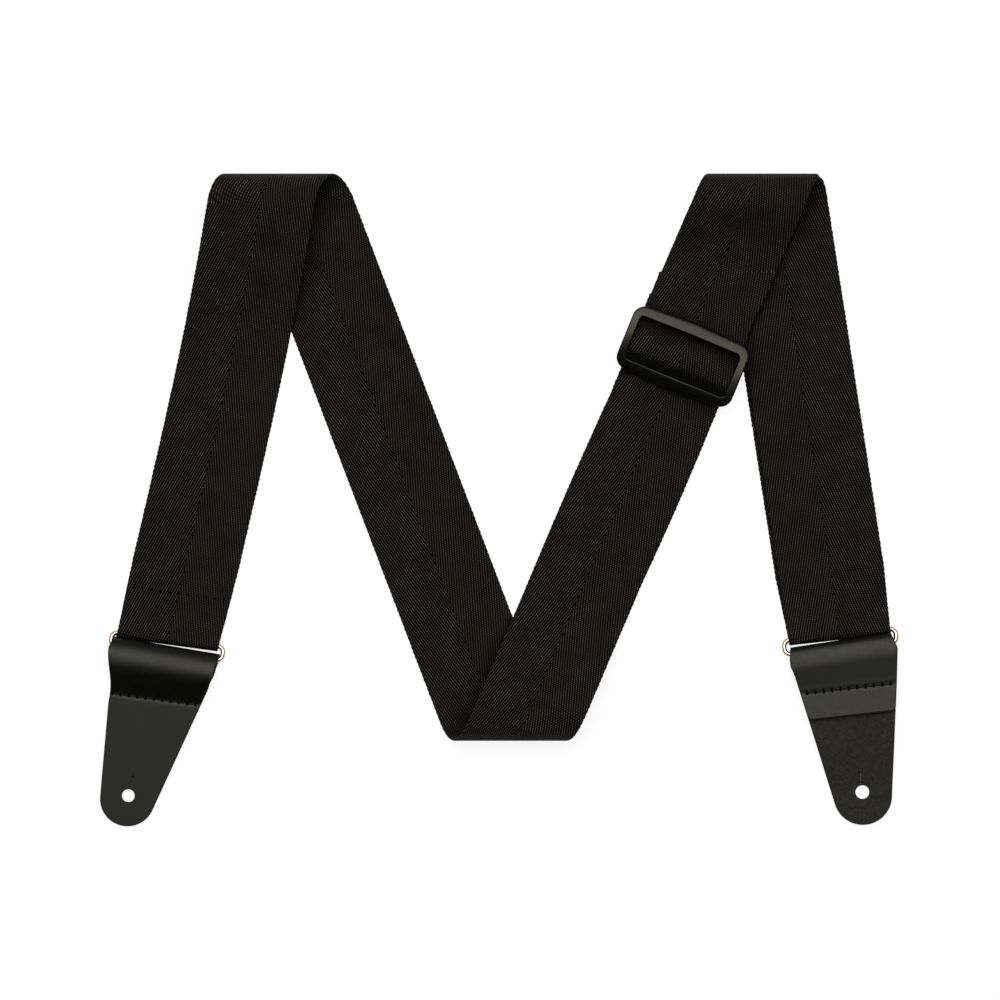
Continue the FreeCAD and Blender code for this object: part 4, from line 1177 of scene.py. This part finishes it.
# A needle hole: its reach across and along the strap, and its depth. A groove runs from hole to hole.
NEEDLE_ACROSS, NEEDLE_ALONG, NEEDLE_DEPTH = 0.62, 0.8, 0.75
GROOVE_REACH, GROOVE_DEPTH = 1.5, 0.14
# Where the fold's shift along the strap starts to fade in, and over what reach
SHIFT_START, SHIFT_REACH = 18.0, 14.0
# Spacing of the surface points: near the seam, round the fold and on the flat, and within a row.
# A fold is where the heading changes by more than FOLD_SIGN degrees.
SEAM_REACH, SEAM_SPACING, FOLD_SPACING, FLAT_SPACING, ROW_SPACING = 1.6, 0.28, 0.45, 1.4, 1.5
FOLD_SIGN = 0.05
GRID_HALF_WIDTH = 32
EDGE_CLEARANCE, HOLE_CLEARANCE = 0.35, 0.25
GRID_START, GRID_END = 0.9, 0.7
# The path runs on past the tip and stays flat past the seam by these.
TIP_OVERRUN, SEAM_FLAT = 4, 1
RUN_STEPS, HALVINGS = 2000, 40
SIDE_POINTS, TIP_STEPS, HOLE_STEPS, SLIT_STEPS = 220, 70, 40, 8
RIM_ANGLES = (-60, -30, 0, 30, 60)


def swell(along, place, reach):
    """1 at a place, falling smoothly to 0 a reach away from it."""
    return max(0.0, 1 - ((along - place) / reach) ** 2) ** 2


def crossing(chain, along):
    """Where the line at `along` cuts an open chain of (across, along) points."""
    for (xa, ya), (xb, yb) in zip(chain, chain[1:]):
        if min(ya, yb) <= along <= max(ya, yb) and ya != yb:
            return xa + (xb - xa) * (along - ya) / (yb - ya)
    return chain[0][0] if along < chain[0][1] else chain[-1][0]


def within(point, loop):
    """Whether a point is inside a closed loop, both in developed coordinates."""
    odd = False
    for a, b in zip(loop, loop[1:] + loop[:1]):
        if (a[1] > point[1]) != (b[1] > point[1]):
            if point[0] < a[0] + (b[0] - a[0]) * (point[1] - a[1]) / (b[1] - a[1]):
                odd = not odd
    return odd


def winding(loop):
    """1 for a loop that runs anticlockwise, -1 for a clockwise one."""
    return math.copysign(1, sum(a[0] * b[1] - b[0] * a[1] for a, b in zip(loop, loop[1:] + loop[:1])))


def shrunk(loop, distance):
    """The loop moved sideways, towards its inside for a positive distance."""
    sign = winding(loop)
    moved = []
    for i, place in enumerate(loop):
        way = (Vector(loop[(i + 1) % len(loop)]) - Vector(loop[i - 1])).normalized()
        moved.append((place[0] - sign * way.y * distance, place[1] + sign * way.x * distance))
    return moved


def leather_path(fold, tab, flap_on_top, reach):
    """The side view of a leather end as path pieces, from one cut end to the other."""
    low = LEATHER_THICKNESS / 2
    turn = turn_back(low, fold.bends, fold.fall, fold.ease, low + LEATHER_LAYER_PITCH + fold.lift, 0.0)
    end_d, end_h, _ = path_end(turn)
    flap_end = FLAP_LENGTH - LEATHER_BAR_SETBACK
    seam_d = tab.seam_place + SEAM_FLAT - LEATHER_BAR_SETBACK
    to_seam = straight(max(0.1, end_d + seam_d))
    if flap_on_top:
        under = lay(-reach, low, 0.0, [straight(reach - TIP_RAMP_START)] + climb(TIP_RAMP, fold.lift))
        spring, end = -RIGHT_SPRING, flap_end
    else:
        under = [Piece(-flap_end, low + fold.lift, 0.0, 1.0, 0.0)]
        spring, end = LEFT_SLOPE, reach
    over = lay(end_d, end_h, 180.0, [to_seam, bend(SPRING_RADIUS, spring), straight(end - seam_d)])
    last_d, last_h, _ = path_end(under)
    under += lay(last_d, last_h, 0.0, [straight(-FOLD_RAMP - last_d)] + climb(FOLD_RAMP, -fold.lift))
    return under + turn + over


class LeatherEnd:
    """One piece of leather folded round the ring bar, in developed coordinates (across, run)."""

    def __init__(self, roll, tab, bar_angle, fold, flap_on_top, swellings, fold_shift, fold_skew):
        self.roll, self.tab, self.flap_on_top = roll, tab, flap_on_top
        self.swellings, self.fold_shift, self.fold_skew = swellings, fold_shift, fold_skew
        self.lean = tab.angle - bar_angle
        self.pieces = leather_path(fold, tab, flap_on_top, tab.tip_distance + tab.tip_radius + TIP_OVERRUN)
        self.total = sum(piece.length for piece in self.pieces)
        runs = [self.total * index / RUN_STEPS for index in range(RUN_STEPS + 1)]
        self.crown = max(runs, key=lambda run: self.section(run)[0])
        seam_d = LEATHER_BAR_SETBACK - tab.seam_place
        self.seam_runs = (self.run_at(seam_d, False), self.run_at(seam_d, True))
        self.needle_across = [
            (index - SEAM_STITCHES / 2) * SEAM_STITCH_PITCH - tangent(self.lean) * tab.seam_place - tab.shift
            for index in range(SEAM_STITCHES + 1)]

    def section(self, run):
        """Distance, height and heading on the middle layer at a run from the start."""
        for piece in self.pieces:
            if run <= piece.length or piece is self.pieces[-1]:
                return locate(piece, run / piece.length)
            run -= piece.length

    def run_at(self, d, upper):
        """Run at a distance on the lower or the upper layer."""
        low, high = (self.crown, self.total) if upper else (0.0, self.crown)
        for _ in range(HALVINGS):
            middle = (low + high) / 2
            if (self.section(middle)[0] > d) == upper:
                low = middle
            else:
                high = middle
        return (low + high) / 2

    def run_of(self, along):
        """Run on the layer that carries the tip, at a distance from the bar."""
        return self.run_at(LEATHER_BAR_SETBACK - along, not self.flap_on_top)

    def on_axis(self, across, along):
        """From the tab's own leaning axis to bar axes."""
        return (across * cosine(self.lean) - along * sine(self.lean) - self.tab.shift,
                across * sine(self.lean) + along * cosine(self.lean))

    def half_width(self, distance):
        beyond = (self.tab.tip_distance - distance) * tangent(SIDE_ANGLE)
        return self.tab.tip_radius / cosine(SIDE_ANGLE) + beyond

    def flank(self, side, along, under):
        """Across place of one cut side at a distance from the bar."""
        bar_reach = LEATHER_FOLD_RADIUS + LEATHER_THICKNESS
        chain = [
            (side * LEATHER_FOLD_WIDTH / 2, -2 * bar_reach), (side * LEATHER_FOLD_WIDTH / 2, -bar_reach / 2),
            self.on_axis(side * self.half_width(TAB_FLARE_PLACE), TAB_FLARE_PLACE), self.tangent_point(side)]
        swollen = sum(
            amount * swell(along, place, reach)
            for which, amount, place, reach, layers in self.swellings
            if which == side and layers != ("over" if under else "under"))
        return crossing(chain, along) + side * swollen

    def tangent_point(self, side):
        """Where a straight side runs into the round tip."""
        tab = self.tab
        return self.on_axis(
            side * tab.tip_radius * cosine(SIDE_ANGLE), tab.tip_distance + tab.tip_radius * sine(SIDE_ANGLE))

    def outline(self):
        """The cut edge: down one side from the flap, round the tip and back up the other side."""
        tab = self.tab
        flap_run = self.total if self.flap_on_top else 0.0
        sides = {-1: [], 1: []}
        for side, chain in sides.items():
            tip_start = self.run_of(self.tangent_point(side)[1])
            for index in range(SIDE_POINTS):
                run = flap_run + (tip_start - flap_run) * index / SIDE_POINTS
                from_flap = abs(run - flap_run)
                inset = 0.0
                if from_flap < FLAP_CORNER:
                    inset = FLAP_CORNER - math.sqrt(FLAP_CORNER**2 - (FLAP_CORNER - from_flap) ** 2)
                along = LEATHER_BAR_SETBACK - self.section(run)[0]
                chain.append((self.flank(side, along, run < self.crown) - side * inset, run))
        tip = []
        for step in range(TIP_STEPS + 1):
            angle = SIDE_ANGLE + (180 - 2 * SIDE_ANGLE) * step / TIP_STEPS
            x, y = self.on_axis(
                -tab.tip_radius * cosine(angle), tab.tip_distance + tab.tip_radius * sine(angle))
            tip.append((x, self.run_of(y)))
        return sides[-1] + tip + sides[1][::-1]

    def hole(self):
        """The button hole with its closed slit, as one loop."""
        tab = self.tab
        gap_angle = math.degrees(math.asin(SLIT_GAP / tab.hole_radius))
        loop = []
        for step in range(HOLE_STEPS + 1):
            angle = -90 + gap_angle + (360 - 2 * gap_angle) * step / HOLE_STEPS
            loop.append((tab.hole_radius * cosine(angle), tab.hole_distance + tab.hole_radius * sine(angle)))
        slit_start = tab.hole_distance - tab.hole_radius
        for way in range(1 - SLIT_STEPS, SLIT_STEPS):
            share = (SLIT_STEPS - abs(way)) / SLIT_STEPS
            across = math.copysign(SLIT_GAP, way) if way else 0
            loop.append((across, slit_start - SLIT_LENGTH * share))
        return [(x, self.run_of(y)) for x, y in (self.on_axis(*place) for place in loop)]

    def from_seam(self, run):
        return min(abs(run - seam_run) for seam_run in self.seam_runs)

    def needle(self, x, run):
        """1 in the middle of a needle hole, 0 away from them."""
        across = min(abs(x - place) for place in self.needle_across)
        return math.exp(-((across / NEEDLE_ACROSS) ** 2 + (self.from_seam(run) / NEEDLE_ALONG) ** 2))

    def lifted(self, x, run, level):
        """A point of the leather at a height from its middle layer, in the strap's own place."""
        safe = min(max(run, 0.0), self.total)
        d, h, heading = self.section(safe)
        d += (run - safe) * cosine(heading) - sine(heading) * level
        h += (run - safe) * sine(heading) + cosine(heading) * level
        near_ring = min(1.0, max(0.0, (d + SHIFT_START) / SHIFT_REACH))
        d += (self.fold_shift + self.fold_skew * x) * near_ring
        return on_bench(self.roll, -x, d, h)

    def grid(self, outline, hole):
        """Points inside the outline: close together at the seam and round the fold."""
        points = []
        edge = shrunk(outline, EDGE_SOFTNESS + RIM_WIDTH + EDGE_CLEARANCE)
        clear = shrunk(hole, -HOLE_SOFTNESS - RIM_WIDTH - HOLE_CLEARANCE)
        run = GRID_START
        row = 0
        while run < self.total - GRID_END:
            row += 1
            near_seam = self.from_seam(run) < SEAM_REACH
            spacing = SEAM_SPACING if near_seam else ROW_SPACING
            half_count = int(GRID_HALF_WIDTH / spacing)
            for index in range(-half_count, half_count + 1):
                place = ((index + row % 2 / 2) * spacing, run)
                if within(place, edge) and not within(place, clear):
                    points.append(place)
            curved = abs(self.section(run + 0.2)[2] - self.section(run - 0.2)[2]) > FOLD_SIGN
            run += SEAM_SPACING if near_seam else FOLD_SPACING if curved else FLAT_SPACING
        return points

    def build(self, name):
        outline, hole = self.outline(), self.hole()
        loops = ((outline, EDGE_SOFTNESS), (hole, HOLE_SOFTNESS))
        flat_points, edges, starts = [], [], []
        for extra in (0.0, RIM_WIDTH):
            for loop, softness in loops:
                starts.append(len(flat_points))
                edges += [(starts[-1] + i, starts[-1] + (i + 1) % len(loop)) for i in range(len(loop))]
                flat_points += shrunk(loop, softness + extra if loop is outline else -softness - extra)
        edge_loop, hole_loop = flat_points[:starts[1]], flat_points[starts[1]:starts[2]]
        flat_points += self.grid(outline, hole)
        flat, _, triangles, origins, _, _ = delaunay_2d_cdt(
            [Vector(place) for place in flat_points], edges, [], 0, 1e-5, True)
        new_index = {source: index for index, sources in enumerate(origins) for source in sources}
        half = LEATHER_THICKNESS / 2
        points, faces, slots, needles = [], [], [], []
        layer = len(flat)
        for level in (-half, half):
            for place in flat:
                needle = self.needle(place.x, place.y)
                groove = GROOVE_DEPTH * max(0.0, 1 - (self.from_seam(place.y) / GROOVE_REACH) ** 2)
                sink = max(NEEDLE_DEPTH * needle, groove)
                points.append(self.lifted(place.x, place.y, level - math.copysign(sink, level)))
                needles.append(needle)
        for triangle in triangles:
            a, b, c = (flat[i] for i in triangle)
            middle = (a + b + c) / 3
            if not within(middle, edge_loop) or within(middle, hole_loop):
                continue
            face = tuple(triangle) if (b - a).cross(c - a) < 0 else tuple(triangle[::-1])
            faces += [face, tuple(layer + i for i in face[::-1])]
            slots += [0, 1]
        for (loop, softness), start in zip(loops, starts):
            size = len(loop)
            inner = flat_points[start:start + size]
            rings = [[new_index[start + i] for i in range(size)]]
            for angle in RIM_ANGLES:
                ring = range(len(points), len(points) + size)
                level = math.copysign(half - softness, angle) + softness * sine(angle) if angle else 0.0
                for (x, run), (out_x, out_run) in zip(inner, loop):
                    share = cosine(angle)
                    points.append(self.lifted(x + (out_x - x) * share, run + (out_run - run) * share, level))
                    needles.append(0.0)
                rings.append(list(ring))
            rings.append([layer + new_index[start + i] for i in range(size)])
            forward = (winding(loop) > 0) == (loop is outline)
            for ring, after in zip(rings, rings[1:]):
                for i in range(size):
                    j = (i + 1) % size
                    face = (ring[i], after[i], after[j], ring[j])
                    faces.append(face[::-1] if forward else face)
                    slots.append(2)
        made = mesh_object(name, points, faces, [grain_finish, flesh_finish, cut_finish], slots)
        attribute = made.data.attributes.new("needle", "FLOAT", "POINT")
        attribute.data.foreach_set("value", needles)
        return made


LEFT_FOLD = Fold([bend(LEATHER_FOLD_RADIUS, 148), bend(14.0, 59.5)], 27.5, 6.0, 0.5)
RIGHT_FOLD = Fold(
    [bend(LEATHER_FOLD_RADIUS, 90), bend(2.3, 68), bend(13.0, 10), bend(24.0, 17.3)], 5.3, 50.0, 3.6)
# Each swelling of a cut side: which side, how far out, its middle and reach along the tab, and its layers
LEFT_SWELLINGS = (
    (1, 2.2, 3.0, 14.0, "both"), (1, 0.9, -4.0, 5.0, "both"), (1, -0.4, 21.0, 7.0, "both"),
    (-1, 1.5, -2.0, 6.0, "both"), (-1, -0.5, 10.0, 6.0, "both"), (-1, 0.6, 2.0, 8.0, "under"))
RIGHT_SWELLINGS = ((1, 0.7, 2.0, 8.0, "both"), (-1, 0.6, -1.0, 7.0, "both"))
ends = {
    "left": LeatherEnd(
        left_leather_roll, LEFT_TAB, LEFT_RING[2], LEFT_FOLD, False, LEFT_SWELLINGS, 0.33, 0.032),
    "right": LeatherEnd(
        right_leather_roll, RIGHT_TAB, RIGHT_RING[2], RIGHT_FOLD, True, RIGHT_SWELLINGS, 0.6, -0.04),
}
for side, end in ends.items():
    leather = end.build(f"{side}_leather")
    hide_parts(f"{side}_leather_end")
    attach(leather, f"{side}_end")

# ---------------------------------------------------------------- stitches


# How deep thread lies in a groove, and for each kind of thread its radius and the gap between strands
THREAD_SINK = 0.02
LEATHER_THREAD_RADIUS, LEATHER_THREAD_GAP = 0.32, 0.7
WEBBING_THREAD_RADIUS, WEBBING_THREAD_GAP = 0.22, 0.9
LOOP_STITCHES = 10


def sewn_row_nodes():
    """Nodes for a sewn row along X: one bowed strand of thread from each needle hole to the next."""
    group = bpy.data.node_groups.new("sewn row", "GeometryNodeTree")
    for label, kind in (
            ("Stitches", "Int"), ("Pitch", "Float"), ("Strand Length", "Float"), ("Thread Radius", "Float"),
            ("Bow", "Float"), ("Dip", "Float"), ("Wander", "Float"), ("Seed", "Int"), ("Thread", "Material")):
        group.interface.new_socket(name=label, in_out="INPUT", socket_type=f"NodeSocket{kind}")
    group.interface.new_socket(name="Geometry", in_out="OUTPUT", socket_type="NodeSocketGeometry")
    given = add_node(group, "NodeGroupInput").outputs

    def math_node(kind, a, b):
        return add_node(group, "ShaderNodeMath", {0: a, 1: b}, operation=kind)

    def vector(x=0.0, y=0.0, z=0.0):
        return add_node(group, "ShaderNodeCombineXYZ", {0: x, 1: y, 2: z})

    half_row = math_node("MULTIPLY", math_node("SUBTRACT", given["Stitches"], 1.0), given["Pitch"])
    points = add_node(group, "GeometryNodeMeshLine", {
        "Count": given["Stitches"], "Start Location": vector(math_node("MULTIPLY", half_row, -0.5)),
        "Offset": vector(given["Pitch"])})
    half = math_node("MULTIPLY", given["Strand Length"], 0.5)
    back = math_node("MULTIPLY", given["Strand Length"], -0.5)
    strand = add_node(group, "GeometryNodeCurveQuadraticBezier", {
        "Resolution": 10, "Start": vector(back, 0.0, given["Dip"]), "Middle": vector(0.0, 0.0, given["Bow"]),
        "End": vector(half, 0.0, given["Dip"])})
    profile = add_node(
        group, "GeometryNodeCurvePrimitiveCircle", {"Resolution": 8, "Radius": given["Thread Radius"]})
    thread = add_node(
        group, "GeometryNodeCurveToMesh", {"Curve": strand, "Profile Curve": profile, "Fill Caps": True})
    turns = add_node(group, "FunctionNodeRandomValue", data_type="FLOAT_VECTOR")
    least = vector(0.0, 0.0, math_node("MULTIPLY", given["Wander"], -1.0))
    most = vector(0.0, 0.0, given["Wander"])
    group.links.new(least.outputs[0], turns.inputs[0])
    group.links.new(most.outputs[0], turns.inputs[1])
    group.links.new(given["Seed"], turns.inputs["Seed"])
    row = add_node(
        group, "GeometryNodeInstanceOnPoints", {"Points": points, "Instance": thread, "Rotation": turns})
    row = add_node(group, "GeometryNodeRealizeInstances", {"Geometry": row})
    row = add_node(group, "GeometryNodeSetShadeSmooth", {"Geometry": row})
    row = add_node(group, "GeometryNodeSetMaterial", {"Geometry": row, "Material": given["Thread"]})
    add_node(group, "NodeGroupOutput", {"Geometry": row})
    return group


sewn_row = sewn_row_nodes()


def stitched(name, node, body, places, **settings):
    """One piece of thread work: the same sewn row at each place, given as origin, X axis and up."""
    merged = None
    for origin, across, up, seed in places:
        holder = bpy.data.objects.new(name, bpy.data.meshes.new(name))
        bpy.context.scene.collection.objects.link(holder)
        modifier = holder.modifiers.new("sewn row", "NODES")
        modifier.node_group = sewn_row
        for item in sewn_row.interface.items_tree:
            if item.in_out == "INPUT":
                label = item.name.replace(" ", "_").lower()
                modifier[item.identifier] = {**settings, "seed": seed, "thread": thread_finish}[label]
        bpy.context.view_layer.update()
        mesh = bpy.data.meshes.new_from_object(holder.evaluated_get(bpy.context.evaluated_depsgraph_get()))
        bpy.data.objects.remove(holder)
        x_axis, z_axis = across.normalized(), up.normalized()
        y_axis = z_axis.cross(x_axis)
        frame_axes = Matrix((x_axis, y_axis, z_axis)).transposed().to_4x4()
        mesh.transform(Matrix.Translation(origin * MM) @ frame_axes)
        if merged is None:
            merged = bmesh.new()
        merged.from_mesh(mesh)
    final = bpy.data.meshes.new(name)
    merged.to_mesh(final)
    merged.free()
    final.materials.append(thread_finish)
    made = bpy.data.objects.new(name, final)
    bpy.context.scene.collection.objects.link(made)
    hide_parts(node)
    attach(made, body)


def leather_seam(end, side, seeds):
    """Thread in the grooves of a leather end, on both outer faces."""
    middle = sum(end.needle_across) / len(end.needle_across)
    places = []
    for upper, seed in zip((True, False), seeds):
        run = end.seam_runs[upper]
        origin = end.lifted(middle, run, THREAD_SINK - LEATHER_THICKNESS / 2)
        out = end.lifted(middle, run, -LEATHER_THICKNESS) - end.lifted(middle, run, 0)
        places.append((origin, -end.roll.across if upper else end.roll.across, out, seed))
    stitched(
        f"{side}_end_thread", f"{side}_end_stitching", f"{side}_end", places, stitches=SEAM_STITCHES,
        pitch=SEAM_STITCH_PITCH * MM, strand_length=(SEAM_STITCH_PITCH - LEATHER_THREAD_GAP) * MM,
        thread_radius=LEATHER_THREAD_RADIUS * MM, bow=0.85 * MM, dip=-0.62 * MM, wander=0.09)


def webbing_seam(name, node, body, bench, row, low, seeds, bow, dip):
    """Thread over and under two layers of webbing, the under row `low` above the lower face."""
    stitched(
        name, node, body,
        ((row, bench.across, bench.up, seeds[0]),
         (row - bench.up * (seam_top - low), -bench.across, -bench.up, seeds[1])),
        stitches=LOOP_STITCHES, pitch=LOOP_STITCH_PITCH * MM,
        strand_length=(LOOP_STITCH_PITCH - WEBBING_THREAD_GAP) * MM,
        thread_radius=WEBBING_THREAD_RADIUS * MM, bow=bow * MM, dip=dip * MM, wander=0.05)


seam_top = 2 * WEBBING_THICKNESS + SEAM_GAP
leather_seam(ends["left"], "left", (2, 3))
leather_seam(ends["right"], "right", (7, 8))
webbing_seam(
    "loop_thread", "left_loop_stitching", "webbing", left_bar,
    on_bench(left_bar, -left_drift * LOOP_SEAM_PLACE, -LOOP_SEAM_PLACE, seam_top), 0.12, (5, 6), 0.05, -0.4)
webbing_seam(
    "slider_tail_thread", "slider_loop_stitching", "slider", slider_bench,
    on_bench(slider_bench, 0, SLIDER_SEAM_PLACE, seam_top), 0.05, (7, 9), 0.02, -0.3)
